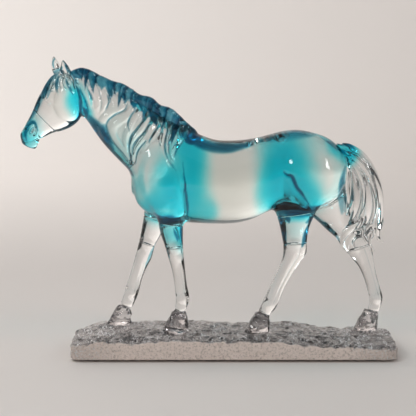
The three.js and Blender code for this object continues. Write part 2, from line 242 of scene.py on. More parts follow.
def skin(sections, sides=40, per_row=6, dome=(0.0, 0.0), egg=0.0, lobes=0, lobe_depth=0.0, twist=0.0):
    """Points and quads of a closed loft. dome is how far each end is rounded out, egg makes the bottom of a
    section wider than its top, and lobes are ridges along it that turn by twist from end to end."""
    rows = smooth_rows(sections, per_row)
    rounding = np.sin(np.linspace(0, math.pi / 2, DOME_STEPS)[1:])
    run = np.gradient(rows[:, :3], axis=0)
    run /= np.linalg.norm(run, axis=1, keepdims=True)

    def cap(end, sign, height):
        made = []
        for out in rounding:
            row = rows[end].copy()
            row[:3] += sign * out * height * run[end]
            row[3:] *= math.sqrt(max(1 - out * out, DOME_TIP**2))
            made.append(row)
        return made

    if dome[0]:
        rows = np.concatenate([cap(0, -1, dome[0])[::-1], rows])
        run = np.concatenate([[run[0]] * len(rounding), run])
    if dome[1]:
        rows = np.concatenate([rows, cap(-1, 1, dome[1])])
    angle = np.linspace(0, 2 * math.pi, sides, endpoint=False)[None, :]
    turn = np.linspace(0, twist, len(rows))[:, None]
    reach = 1 + lobe_depth * np.cos(lobes * angle + turn)
    along = np.cos(angle) * reach
    wide = np.sin(angle) * reach * (1 - egg * np.cos(angle))
    points = np.empty((len(rows), sides, 3))
    points[..., 0] = rows[:, 0:1] + rows[:, 3:4] * along
    points[..., 1] = rows[:, 1:2] + rows[:, 5:6] * wide
    points[..., 2] = rows[:, 2:3] + rows[:, 4:5] * along
    points = points.reshape(-1, 3)
    ring = np.arange(sides)
    base = np.arange(len(rows) - 1)[:, None] * sides
    quads = np.stack([base + ring, base + (ring + 1) % sides,
                      base + sides + (ring + 1) % sides, base + sides + ring], axis=-1).reshape(-1, 4)
    ends = []
    for first, middle in ((0, len(points)), ((len(rows) - 1) * sides, len(points) + 1)):
        ends += [[middle, first + k, first + (k + 1) % sides, first + (k + 2) % sides]
                 for k in range(0, sides, 2)]
    points = np.concatenate([points, rows[[0, -1], :3]])
    return points, np.concatenate([quads, ends])


# ---------------------------------------------------------------------------------------------------
# Relief: height above the smooth glass, drawn in the side view's X and Z

GROOVE_FADE = 0.15  # the share of a groove's length over which each end fades


def from_path(path, x, z):
    """How far each (x, z) is from a smooth path, and how far along the path its nearest point is, 0 to 1."""
    line = smooth_rows(path, PATH_STEPS)
    best = np.full(np.broadcast(x, z).shape, FAR, np.float32)
    share = np.zeros_like(best)
    for k, (start, end) in enumerate(zip(line, line[1:])):
        run = end - start
        t = np.clip(((x - start[0]) * run[0] + (z - start[1]) * run[1]) / (run @ run), 0, 1)
        reach = np.hypot(x - start[0] - t * run[0], z - start[1] - t * run[1])
        closer = reach < best
        best = np.where(closer, reach, best)
        share = np.where(closer, (k + t) / (len(line) - 1), share)
    return best, share


def groove(x, z, path, width, depth):
    """A groove along a path, fading at its ends."""
    reach, share = from_path(path, x, z)
    ends = step_up(share, 0, GROOVE_FADE) * step_up(1 - share, 0, GROOVE_FADE)
    return -depth * np.exp(-((reach / width) ** 2)) * ends


def swelling(x, z, centre, radii, height, tilt, edge):
    """A muscle: an oval that stands proud, flat in the middle and falling off over the edge share."""
    c, s = math.cos(math.radians(tilt)), math.sin(math.radians(tilt))
    u = (c * (x - centre[0]) + s * (z - centre[1])) / radii[0]
    v = (-s * (x - centre[0]) + c * (z - centre[1])) / radii[1]
    return height * step_up(1 - np.hypot(u, v), 0, edge)


# ---------------------------------------------------------------------------------------------------
# The horse's smooth outlines: [front or top x, z, rear or bottom x, z, half width, y]

TORSO = outline([
    [-60, 142, -60, 130, 8, 0],
    [-56, 156, -56.5, 121.5, 16, 0],
    [-48, 169, -48, 114, 21.5, 0],
    [-36, 178, -36, 109.3, 25, 0],
    [-22, 183, -22, 107.5, 27.5, 0],
    [-9, 179, -9, 106.5, 29.5, 0],
    [6, 174, 6, 106, 31, 0],
    [22, 173.5, 22, 106.5, 31.5, 0],
    [36, 175, 36, 110, 31, 0],
    [48.5, 178, 48.5, 116, 30.5, 0],
    [60, 181, 60, 119.5, 31, 0],
    [72, 182, 72, 121, 31.5, 0],
    [84, 180, 84, 121.5, 31, 0],
    [95.5, 176, 96, 123, 28, 0],
    [104, 170, 104.5, 128, 22.5, 0],
    [109, 163, 109.5, 136, 14.5, 0],
])
NECK = outline([
    [-110, 223, -107.5, 200.5, 8, 0],
    [-103, 226, -103, 194, 9.5, 0],
    [-95.5, 226, -98.5, 190.8, 10.5, 0],
    [-86, 221, -92.5, 182.2, 11.5, 0],
    [-75.5, 216, -86, 173, 12.5, 0],
    [-64, 210, -79.2, 165, 14, 0],
    [-52.5, 203, -72, 157.4, 16.5, 0],
    [-41, 195.5, -64.4, 149.4, 19.5, 0],
    [-30, 189, -59.5, 140.5, 22.5, 0],
    [-19, 180, -53, 129, 24.5, 0],
])
HEAD = outline([
    [-117.5, 230, -107.5, 220.5, 6, 0],
    [-122, 228, -103.5, 210, 9.5, 0],
    [-127.5, 222.5, -102, 201, 11, 0],
    [-132, 216, -102.8, 191.5, 10.5, 0],
    [-136, 209, -109.2, 185, 9, 0],
    [-139, 202.5, -117.5, 181.3, 8, 0],
    [-142, 195.5, -125, 179.5, 7, 0],
    [-145.5, 189, -130.5, 177, 6.5, 0],
    [-148.5, 183.5, -135.5, 174.5, 6.8, 0],
    [-151.4, 178, -137, 171, 6.3, 0],
    [-150.4, 172.2, -138.6, 167.4, 4.6, 0],
])
CREST = strand([
    [-109, 0, 226, 3.6, 4.5],
    [-102, 0, 228, 4, 5],
    [-95.5, 0, 226.3, 4, 5],
    [-88, 0, 222.2, 4, 5],
    [-78, 0, 217.8, 4, 5.2],
    [-70, 0, 215.4, 4.2, 5.2],
    [-63.5, 0, 211.5, 4.2, 5.4],
    [-56, 0, 206.8, 4, 5.4],
    [-47.5, 0, 204.2, 4.6, 5.6],
    [-40.5, 0, 198.2, 4.6, 5.6],
    [-33, 0, 195.8, 4.8, 5.6],
    [-27, 0, 191.6, 4.6, 5.2],
    [-20, 0, 185, 4.4, 4.8],
    [-12, 0, 179.4, 3.4, 4],
])
LEGS = {
    "left_fore": outline([
        [-46.5, 138.5, -19, 138.5, 12, -13],
        [-43.5, 124, -19, 124, 11.5, -13.5],
        [-40.5, 112, -19.5, 113.5, 10, -14],
        [-38.5, 101, -20, 102.5, 8.2, -14.5],
        [-35, 90.5, -20, 91, 6.8, -15],
        [-32, 80.5, -19.5, 81.5, 6.2, -15],
        [-29, 70, -18.5, 71, 5.2, -15],
        [-27, 58, -17, 58, 4.8, -15],
        [-26, 46.5, -15, 47, 5.3, -15],
        [-26.5, 38, -17.5, 37.5, 4.9, -15],
    ]),
    "right_fore": outline([
        [-49, 138, -25, 134, 11.5, 13],
        [-51, 123.5, -29.5, 119.5, 11, 13.5],
        [-52.5, 112.5, -33.5, 106, 9.5, 14],
        [-54.5, 100.5, -38.5, 95, 8, 14.5],
        [-56.5, 90.5, -43.5, 86, 6.6, 15],
        [-59, 80.5, -46.5, 75.5, 6.1, 15],
        [-62, 69.5, -51, 66.5, 5.2, 15],
        [-65.5, 58.5, -55, 56, 4.8, 15],
        [-69, 47, -58, 44.5, 5.3, 15],
        [-72, 38, -62.5, 34.5, 4.9, 15],
    ]),
    "left_hind": outline([
        [60, 154.5, 102, 149, 15, -14],
        [55, 137, 99, 134.5, 15, -15],
        [53.5, 123, 91, 124, 13, -15.5],
        [55, 114.5, 85, 114, 10.6, -15.5],
        [57.5, 105.5, 81, 104, 8.8, -15.5],
        [59.5, 96, 79.5, 94.5, 7.2, -15.5],
        [60.5, 87, 79, 84, 6.4, -15.5],
        [59.5, 79, 73.5, 76, 5.6, -15.5],
        [55.5, 70, 67.5, 66.5, 5, -15.5],
        [49, 55.5, 60.5, 53, 4.8, -15.5],
        [43.5, 43, 55.5, 40.5, 5.4, -15.5],
        [40.5, 36.5, 50, 33.5, 4.9, -15.5],
    ]),
    "right_hind": outline([
        [62, 141, 111, 147, 14.5, 14],
        [67, 126, 113, 133, 14, 15],
        [89.5, 106.5, 115.5, 118.5, 10.6, 14.5],
        [98, 98.5, 119, 108.5, 9, 15],
        [105.5, 92, 126, 101, 7.6, 15],
        [110.5, 84.5, 132.5, 92.5, 6.9, 15],
        [117.5, 76.5, 135.5, 81.5, 6.2, 15],
        [124, 68.5, 137, 71.5, 5.4, 15],
        [128.5, 59.5, 139, 62, 5, 15],
        [131.5, 49.5, 142, 51.5, 4.8, 15],
        [133.5, 41, 144.5, 42, 5.4, 15],
        [132.5, 33.5, 142, 31, 4.9, 15],
    ]),
}
HOOVES = {
    "left_fore": outline([[-28, 37, -17.5, 35.5, 5.6, -15], [-32.5, 29, -16.5, 28.5, 7.6, -15],
                          [-38, 18, -16, 17.5, 9, -15]]),
    "right_fore": outline([[-74.5, 36, -63.5, 31.5, 5.6, 15], [-79, 28.5, -63.5, 26.5, 7.6, 15],
                           [-85.5, 18, -64, 17, 9, 15]]),
    "left_hind": outline([[38.5, 36, 49.5, 32.5, 5.6, -15.5], [34, 28.5, 49.5, 27, 7.6, -15.5],
                          [28, 17.5, 49, 16.5, 9, -15.5]]),
    "right_hind": outline([[129.5, 32.5, 141, 29, 5.6, 15], [124.5, 24, 140.5, 23, 7.6, 15],
                           [118, 12.5, 140, 12, 9, 15]]),
}
SKINS = {
    "torso": dict(sections=TORSO, sides=64, dome=(2.5, 3), egg=0.10),
    "neck": dict(sections=NECK, sides=56, dome=(1, 1), egg=0.22),
    "head": dict(sections=HEAD, sides=56, dome=(2, 2.2), egg=0.08),
    "crest": dict(sections=CREST, sides=32, dome=(3, 3)),
    **{leg: dict(sections=rows, sides=44, dome=(1, 1)) for leg, rows in LEGS.items()},
}
MELT = {"torso": 8, "neck": 7, "leg": 7, "hoof": 1.2, "head": 1.6, "crest": 2.5}
HOOF_SKIN = dict(sides=44, dome=(0.8, 0))
# How far from the middle plane relief starts and where it is full
BODY_RELIEF = (8, 22)
HEAD_RELIEF = (1.5, 5)
CREST_RELIEF = (1, 4.5)


# ---------------------------------------------------------------------------------------------------
# Relief lines and muscles, as [x, z] in the side view

# The mane's locks on the left side of the neck: centre line, half width
LOCKS = [
    ([(-105, 226), (-101.5, 216), (-98.5, 207), (-98, 199)], 3.0),
    ([(-100, 225), (-96.5, 215), (-94.5, 207), (-94, 199)], 2.6),
    ([(-93.5, 223), (-90, 213), (-87.5, 205), (-88.5, 196)], 3.0),
    ([(-86, 220), (-83.5, 211), (-82.5, 203), (-85, 195)], 2.6),
    ([(-77.5, 217), (-74.5, 208.5), (-73.5, 201), (-79, 195), (-85, 188.5), (-85, 181), (-80, 172)], 3.8),
    ([(-70.5, 214), (-68, 206), (-69.5, 199.5), (-77, 194)], 2.4),
    ([(-62.5, 211), (-59.5, 203.5), (-62, 196.5), (-69, 191), (-75, 185.5), (-75, 178.5), (-70.5, 171),
      (-65, 163.5), (-61, 155)], 4.0),
    ([(-56, 207), (-54.5, 199), (-58.5, 191.5), (-62.5, 184.5), (-65.5, 177.5), (-65, 169.5),
      (-62.5, 160)], 2.6),
    ([(-48.5, 202), (-47.5, 194.5), (-52.5, 185), (-58, 178), (-61, 170.5), (-61, 162), (-60, 154)], 2.4),
    ([(-43, 199), (-43, 190), (-47.5, 181.5), (-53, 173.5), (-57.5, 166.5), (-59, 156)], 2.6),
    ([(-39, 195), (-39, 186.5), (-43.5, 179), (-48.5, 172.5), (-52, 165)], 3.0),
    ([(-37.5, 193), (-35, 184), (-36.5, 176), (-37, 167)], 2.4),
    ([(-32.5, 190), (-30.5, 181.5), (-32, 173.5), (-32.5, 165), (-28, 155)], 2.0),
    ([(-25.5, 187), (-25, 178.5), (-27.5, 171), (-29, 164), (-27, 156)], 3.0),
]
LOCK_HEIGHT = 1.5  # mm
# Deep cuts between the locks: line, half width
MANE_CUTS = [
    ([(-103, 218), (-97.5, 205.5), (-95, 195.5)], 0.8),
    ([(-97.5, 218), (-93.5, 210.5), (-92, 206)], 0.7),
    ([(-80.5, 210.5), (-79, 204.5), (-81.5, 198.5)], 0.8),
    ([(-62.5, 206), (-66, 198.5), (-74, 194.5), (-80, 188.5), (-80, 182), (-77, 175),
      (-71, 167.5), (-64.5, 160), (-61, 154)], 1.0),
    ([(-55.5, 200.5), (-60, 195.5), (-63.5, 188), (-62, 180.5)], 0.8),
    ([(-50, 198), (-50.5, 192), (-56, 184.5), (-61, 178), (-62.5, 170), (-62, 162), (-60, 155)], 1.0),
    ([(-45, 195.5), (-46.5, 188.5), (-51, 180.5), (-56.5, 175), (-60, 169.5), (-60, 161)], 0.9),
    ([(-48.5, 175), (-53.5, 170), (-56.5, 164.5), (-58, 155)], 0.9),
    ([(-38, 188.5), (-42.5, 182), (-46.5, 175), (-47, 172)], 0.9),
    ([(-35.5, 195.5), (-32.5, 188.5), (-32.5, 182), (-34, 175), (-34, 167), (-30.5, 158.5),
      (-25.5, 151.5)], 1.0),
    ([(-29, 184.5), (-29, 178.5), (-31.5, 171), (-30.5, 162.5)], 0.8),
    ([(-18, 176), (-21.5, 171), (-25, 166), (-26.5, 162)], 1.0),
]
CUT_DEPTH = 1.3  # mm
CREST_STRANDS = 58  # strands of hair along the crest
CREST_LINE = [
    (-110, 226), (-102, 230), (-95.5, 228), (-88, 224), (-78, 220), (-70, 217), (-63.5, 213),
    (-56, 208.5), (-47.5, 206), (-40.5, 200.5), (-33, 198), (-27, 193.5), (-20, 187), (-12, 180),
]
# The forelock's strands, between the ears and down the forehead
FORELOCK = [
    [(-118, 229), (-122, 223.5), (-125.5, 217.5), (-128.5, 210.5), (-130, 204.5)],
    [(-120, 230.5), (-125, 225), (-129.5, 219), (-132.5, 213), (-134, 208)],
    [(-116.5, 228), (-120, 222), (-120, 216), (-117.5, 211)],
    [(-114, 226.5), (-114, 221), (-111.5, 213)],
]
SHOULDER_LINE = [(-31.5, 170), (-30, 160), (-25.5, 151.5), (-23, 141.5), (-20, 130.5), (-19, 120),
                 (-18.5, 110)]
THIGH_LINE = [(59, 152), (62, 148.5), (66, 146.5), (70, 138.5), (75, 132), (79.5, 125.5), (83, 118)]
STIFLE_LINE = [(59.5, 154), (59.2, 142), (59, 128)]
HAIR_TIP = 0.35  # a lock's width at its tip, as a share of the width at its root
COMB_LINES = 2  # combed lines on each half of a lock
COMB_DEPTH = 0.10  # as a share of the lock's height
STRAND_SLANT = 0.25  # how fast the crest's strands lean back as they hang
STRAND_SIZE = (1, 1, 12)
CREST_COMB = 1.3  # height of the crest's strands, mm
CREST_HANG = 11  # how far down they reach, mm


def ridge(x, z, path, width, height):
    """A rounded strand of hair with fine combed lines, thinner towards its tip."""
    reach, share = from_path(path, x, z)
    width = width * (1 - (1 - HAIR_TIP) * share**2)
    across = np.clip(reach / width, 0, 1)
    rise = height * np.sqrt(1 - across**2) * step_up(1 - share, 0, 0.18) * step_up(share, 0, 0.3)
    return rise * (1 + COMB_DEPTH * np.cos(2 * math.pi * across * COMB_LINES))


def crest_strands(x, z):
    """How far each (x, z) is from the crest, the share of the crest's length there, and the uneven strands,
    0 to 1, that run down from it at a slant."""
    reach, share = from_path(CREST_LINE, x, z)
    strands = cloud(share * CREST_STRANDS - reach * STRAND_SLANT, 0 * x, reach, STRAND_SIZE, 15)
    return reach, share, step_up(strands, -0.55, 0.55)


def crest_comb(x, z):
    """Short locks cut deep into the crest's edge."""
    reach, _, strands = crest_strands(x, z)
    return CREST_COMB * strands * step_up(CREST_HANG - reach, 0, 7)


def mane(x, z):
    rise = np.zeros(np.broadcast(x, z).shape, np.float32)
    for path, width in LOCKS:
        rise = np.maximum(rise, ridge(x, z, path, width, LOCK_HEIGHT))
    rise = np.maximum(rise, crest_comb(x, z))
    for path, width in MANE_CUTS:
        rise = rise + groove(x, z, path, width, CUT_DEPTH)
    return rise


# What both sides of the head carry. Swellings are (middle, radii, height, tilt, edge), and grooves are
# (path, width, depth).
FACE_SWELLINGS = [
    ((-111.5, 203), (12, 14), 0.9, 0, 0.25),  # cheek
    ((-126.5, 207), (3, 9), 0.5, 35, 0.8),  # facial crest
    ((-124.3, 216.2), (4.4, 3.2), 1.1, -35, 0.5),  # eye socket
    ((-124.6, 215.6), (2.3, 1.9), 0.9, -35, 0.9),  # eye
    ((-140.8, 181.3), (3.4, 5.6), 1.0, -24, 0.4),  # nostril's rim
    ((-141, 181.3), (2.3, 4.3), -2.4, -24, 0.5),  # nostril
    ((-140, 170.5), (3.6, 2.6), 0.6, 0, 0.9),  # chin
]
FACE_GROOVES = [
    ([(-127.2, 214), (-125.5, 218), (-122, 218.6), (-120.6, 216.5)], 0.55, 0.7),  # upper eyelid
    ([(-127.2, 214), (-125, 213.3), (-122.4, 214.3), (-120.6, 216.5)], 0.55, 0.7),  # lower eyelid
    ([(-149, 169.6), (-145.8, 172), (-141.7, 173), (-138, 175.6)], 0.7, 1.1),  # mouth
    ([(-134, 205), (-137, 196), (-138, 188), (-137.5, 184)], 1.2, 0.5),  # nasal line
]
FORELOCK_WIDTH = 1.7
FORELOCK_HEIGHT = 1.7


def face(x, z):
    rise = np.zeros(np.broadcast(x, z).shape, np.float32)
    for path in FORELOCK:
        rise = np.maximum(rise, ridge(x, z, path, FORELOCK_WIDTH, FORELOCK_HEIGHT))
    for middle, radii, height, tilt, edge in FACE_SWELLINGS:
        rise = rise + swelling(x, z, middle, radii, height, tilt, edge)
    for path, width, depth in FACE_GROOVES:
        rise = rise + groove(x, z, path, width, depth)
    return rise


# The body's muscles, the same on both sides: middle, radii, height, tilt, edge
MUSCLES = [
    ((-37, 141), (19, 33), 2.2, 12, 0.35),  # shoulder
    ((-27, 120), (10, 12), 0.8, 0, 0.7),  # elbow
    ((-53, 136), (8, 14), 0.9, 0, 0.8),  # breast
    ((84, 150), (24, 30), 2.0, 20, 0.45),  # haunch
    ((48, 150), (13, 16), -0.7, 0, 0.95),  # hollow of the flank
]


def muscles(x, z):
    rise = groove(x, z, SHOULDER_LINE, 1.5, 1.3)
    for middle, radii, height, tilt, edge in MUSCLES:
        rise = rise + swelling(x, z, middle, radii, height, tilt, edge)
    return rise


def left_lines(x, z):
    """Cuts on the left thigh, round the fold of the stifle."""
    return groove(x, z, THIGH_LINE, 1.1, 1.0) + groove(x, z, STIFLE_LINE, 1.0, 0.45)


# Where a leg's pieces meet: a point [x, z] and the direction down the leg [x, z]
LEG_JOINTS = {
    "left_fore": dict(top=((-30, 106.8), (-0.12, -0.99)), knee=((-26.5, 88), (0.1, -0.99)),
                      ankle=((-22, 36.8), (0.06, -1))),
    "right_fore": dict(top=((-44, 109.5), (-0.15, -0.99)), knee=((-49.5, 87), (-0.28, -0.96)),
                       ankle=((-68, 35.2), (-0.38, -0.92))),
    "left_hind": dict(top=((72, 115.5), (0.145, -0.99)), knee=((68.3, 91.5), (0.06, -1)),
                      ankle=((45, 35.2), (-0.36, -0.93))),
    "right_hind": dict(top=((98, 121), (0.47, -0.88)), knee=((119.5, 82.5), (0.28, -0.96)),
                       ankle=((136.2, 31.8), (-0.25, -0.97))),
}
LEG_TOP_RADIUS = 25  # a leg's top joint reaches this far round the leg's middle
KNEE_ROW = 5  # the knee's or hock's row in a leg's outline


# ---------------------------------------------------------------------------------------------------
# Colour in the glass, in the side view, and painted shade in some of its bands. Pockets are (x, z, radius x,
# radius z, tilt, strength), and bands are (path, half width, strength).

AQUA_POCKETS = [
    (-145, 179, 10, 14, -25, 0.8),  # muzzle
    (-106, 205, 7, 15, 12, 1.0),  # back of the cheek
    (-98, 199, 5, 15, 20, 1.0),  # throat
    (-74, 186, 14, 20, 0, 0.12),  # neck
    (-58, 166, 13, 17, 10, 0.25),
    (-46, 121, 14, 15, 25, 0.75),  # breast
    (-29, 136, 14, 26, 8, 0.97),  # shoulder
    (-38, 117, 18, 11, 0, 0.62),
    (-12, 144, 12, 40, 0, 0.96),  # behind the elbow
    (-14, 168, 10, 12, 0, 0.95),
    (1, 118, 8, 14, 0, 0.6),
    (55, 146, 12, 31, -8, 1.0),  # flank
    (45, 134, 8, 17, -8, 0.6),
    (64, 164, 17, 13, 0, 0.9),  # croup
    (70, 140, 15, 20, 0, 1.0),  # thigh
    (68, 130, 14, 11, 0, 1.0),
    (80, 130, 9, 10, 0, 0.6),
    (72, 121, 20, 9, 0, 0.9),
    (102, 167, 10, 7, -40, 1.0),  # point of the croup
    (113, 162, 7, 11, -20, 1.0),  # dock
]
LEFT_AQUA_POCKETS = [
    (-31, 100, 10, 12, 0, 0.45),  # forearm
    (-22.5, 97, 4, 12, 0, 0.8),
    (70, 104, 12, 14, 0, 0.2),  # gaskin
]
PALE_PATCHES = [
    (-141, 181.3, 3, 5.2, -24, 0.9),  # nostril
    (-133, 184, 6, 5, 0, 0.5),  # upper lip
    (-55, 147, 11, 21, -18, 0.9),  # breast
    (-34, 119, 8, 2.2, 0, 0.6),
    (108, 150, 3, 9, 10, 0.5),
]
MIST_POCKETS = [
    (12, 145, 46, 34, 0, 1.0),
    (90, 150, 24, 34, 0, 0.55),
    (-75, 188, 26, 26, 0, 0.3),
    (-116, 202, 12, 14, 0, 0.5),  # cheek
]
AQUA_BANDS = [
    ([(-88, 178), (-80, 169), (-72, 159), (-64, 149), (-59, 140)], 5.5, 1.0),  # underside of the neck
    ([(-62, 142), (-60, 128), (-52, 117), (-42, 112)], 3.5, 0.8),
]
# Teal bands, here and on the left and right below: partly the glass's teal, partly painted shade for the
# dark lines that refraction draws along edges and folds.
TEAL_AND_SHADE_BANDS = [
    ([(48, 176), (68, 181.5), (84, 179)], 5.0, 0.7),  # top of the croup
    ([(-22, 181), (-10, 174), (3, 169), (18, 168), (34, 171)], 3.0, 1.3),  # under the back
    ([(-19.5, 150), (-17.5, 138), (-16.5, 124), (-16.5, 110)], 0.9, 1.0),  # behind the shoulder
    ([(-117, 232), (-128, 222), (-136, 209), (-142, 196), (-147, 187)], 3.4, 0.9),  # front of the face
    ([(-151, 181), (-150, 174), (-147, 168), (-141, 167)], 1.6, 0.7),  # lips
    ([(-145.5, 174), (-146.5, 180), (-143.5, 187), (-139, 187.5), (-137, 182)], 1.3, 0.8),  # nostril
    ([(-126, 221), (-129, 214), (-131.5, 207.5)], 1.4, 1.1),  # tufts on the forehead
    ([(-119, 226), (-121, 219), (-120.5, 214)], 1.2, 1.0),
    ([(-113, 222), (-110.5, 216), (-107.5, 210)], 0.9, 0.7),
    ([(-110, 222), (-104, 215), (-101.5, 206), (-102, 197), (-105, 190)], 0.9, 1.0),  # rear of the cheek
    ([(-102, 198), (-103.5, 189), (-109, 184), (-117, 180.5)], 2.4, 1.2),  # jaw
    ([(-100, 201), (-97.5, 196), (-97, 190)], 1.6, 1.1),  # throat
    ([(-96, 193.5), (-89.5, 185), (-82.5, 176), (-76, 167)], 4.0, 1.3),  # gullet
    ([(-68, 156), (-63.5, 150), (-60, 146)], 1.3, 1.2),
    ([(-116, 237), (-117, 232), (-115.5, 227)], 0.5, 0.6),  # ears
    ([(-115, 237.5), (-112.5, 235), (-110, 230)], 0.5, 0.7),
    ([(-123, 241), (-124.8, 236), (-123.7, 230)], 0.5, 0.6),
    ([(-122.5, 240), (-120.6, 236.5), (-118.6, 232)], 0.5, 0.6),
    ([(100, 174.5), (108, 173), (117.5, 167)], 1.6, 1.1),  # dock
    ([(111, 163), (105, 167.5)], 1.2, 1.0),
    ([(109.5, 153), (106.5, 141), (108, 128), (109.5, 113)], 2.6, 1.0),  # between croup and tail
]
LEFT_TEAL_AND_SHADE_BANDS = [
    ([(59, 151), (62, 148.5), (66, 147), (70, 138.5), (75, 132), (79.5, 125)], 1.2, 1.4),  # stifle
    ([(53, 121.5), (64, 119.5), (78, 119), (93, 122)], 3.8, 0.9),  # top of the hind leg
    ([(92, 119), (85, 113), (79, 110)], 2.6, 1.3),
    ([(56, 119), (59, 107), (60.5, 97), (62, 90)], 1.6, 1.3),  # gaskin's edges
    ([(62, 116), (64, 110)], 1.8, 1.2),
    ([(82, 111), (79, 100), (75.5, 90)], 1.8, 1.3),
    ([(-42.5, 116), (-38, 110.5), (-29, 111.5), (-21, 110)], 3.2, 1.4),  # top of the foreleg
    ([(-21.5, 106), (-20.8, 99), (-20.8, 90)], 1.2, 1.1),
    ([(-39.5, 106), (-37.5, 99), (-34.5, 91), (-31, 80)], 1.1, 1.0),
    ([(-27, 104), (-25, 98), (-24.5, 94)], 1.1, 0.9),
]
RIGHT_TEAL_AND_SHADE_BANDS = [
    ([(-38.7, 97), (-40.5, 90), (-45, 83), (-48.4, 74.6), (-51.5, 67)], 0.9, 0.9),
    ([(85, 112), (97, 101), (109, 89)], 2.4, 1.1),  # gaskin
]
CUT_PAINTED_SHADE = 0.65  # how dark the painted shade lies in the mane's cuts
CUT_WIDTH = 0.55  # mm
FAR_DEPTH = 0.65  # the colour on the right side, where the left side has the rest of 2
FRINGE_LOCKS = 19  # pointed locks along the crest
FRINGE_REACH = (3.5, 4.0, 11.0)  # how far they hang at the poll, how much more at the withers, and at random
FRINGE_SLANT = 0.09  # how fast they lean back as they hang
FRINGE_DEPTH = 1.55  # the colour between the crest's strands, which are paler by 1
LOCK_LENGTHS = LATTICE[:, 3, 5]
LUMPS = (16, 16, 16)  # size of the slow lumps that move the colour's edges, mm
CURDS = (5, 5, 5)  # and of the small ones
LUMP_SHIFT = 2.0  # how far the slow lumps move it, mm
CURD_SHIFT = 0.7
TEAL_SHIFT = 0.35  # the share of this that the dark bands take


def pocket_tint(x, z, pockets, bands=()):
    """How deep a colour is at each (x, z): 0 is clear and 1 is full colour."""
    left = np.ones_like(x)
    for cx, cz, rx, rz, tilt, strength in pockets:
        c, s = math.cos(math.radians(tilt)), math.sin(math.radians(tilt))
        u = (c * (x - cx) + s * (z - cz)) / rx
        v = (-s * (x - cx) + c * (z - cz)) / rz
        left = left * (1 - strength * np.exp(-((u * u + v * v) ** 1.15)))
    for path, width, strength in bands:
        reach, _ = from_path(path, x, z)
        left = left * (1 - strength * np.exp(-((reach / width) ** 2)))
    return 1 - left


def deepest(x, z, bands):
    """The strongest of some dark bands at each (x, z). A band is thinner and paler at its ends."""
    depth = np.zeros_like(x)
    for path, width, strength in bands:
        reach, share = from_path(path, x, z)
        swell = 0.45 + 0.75 * np.sin(math.pi * share)
        band = strength * np.minimum(1, swell) * np.exp(-((reach / (width * swell)) ** 4))
        depth = np.maximum(depth, band)
    return depth


def fringe(x, z):
    """Where the mane's coloured fringe is, from 0 to 1: pointed locks of uneven length with pale strands."""
    reach, share, strands = crest_strands(x, z)
    place = share * FRINGE_LOCKS - FRINGE_SLANT * reach
    lock = np.floor(place).astype(int)
    point = 1 - np.abs(2 * (place - lock) - 1)
    start, growth, uneven = FRINGE_REACH
    length = start + growth * share + uneven * LOCK_LENGTHS[lock % LATTICE_SIZE] * point
    behind_poll = step_up(share, 0, 0.02)
    return behind_poll * step_up(length - reach, -0.4, 1.2) * (FRINGE_DEPTH - strands)


def glass_tint_and_shade(points, hollow):
    """The glass's colour at each point, and the shade painted into its dark bands, the mane's cuts and its
    hollows. Slow lumps bend the pockets' edges, as in hand-gathered glass.
    """
    x, y, z = points.T
    dx = LUMP_SHIFT * cloud(x, y, z, LUMPS, 1) + CURD_SHIFT * cloud(x, y, z, CURDS, 2)
    dz = LUMP_SHIFT * cloud(x, y, z, LUMPS, 3) + CURD_SHIFT * cloud(x, y, z, CURDS, 4)
    left_side = step_up(-y, -4, 2)
    left_skin = step_up(-y, 12, 17)
    aqua = np.maximum(pocket_tint(x + dx, z + dz, AQUA_POCKETS, AQUA_BANDS),
                      pocket_tint(x + dx, z + dz, LEFT_AQUA_POCKETS) * left_side)
    near = FAR_DEPTH + 2 * (1 - FAR_DEPTH) * left_side
    aqua = near * aqua**1.7 * (1 - pocket_tint(x, z, PALE_PATCHES))
    mist = pocket_tint(x + dx, z + dz, MIST_POCKETS)
    x = x + TEAL_SHIFT * dx
    z = z + TEAL_SHIFT * dz
    # painted shade along the mane's cuts
    cuts = [(path, CUT_WIDTH, CUT_PAINTED_SHADE) for path, _ in MANE_CUTS]
    teal_and_shade = np.maximum(deepest(x, z, TEAL_AND_SHADE_BANDS), deepest(x, z, LEFT_TEAL_AND_SHADE_BANDS) * left_skin)
    teal_and_shade = np.maximum(teal_and_shade, deepest(x, z, RIGHT_TEAL_AND_SHADE_BANDS) * (1 - left_side))
    teal_and_shade = np.maximum(teal_and_shade, deepest(x, z, cuts) * step_up(-y, 0, 3))
    teal_and_shade = near * np.maximum(teal_and_shade, fringe(x, z))
    shares = np.stack([aqua, teal_and_shade, mist, hollow], axis=1)
    return np.exp(shares @ np.log(np.array([AQUA, TEAL, MIST, HOLLOW_PAINTED_SHADE])))


AQUA = (0.012, 0.68, 0.90)  # what one skin of full colour lets through
TEAL = (0.012, 0.14, 0.24)
MIST = (0.88, 0.93, 0.88)
HOLLOW_PAINTED_SHADE = (0.12, 0.23, 0.27)  # the painted shade in the hollows
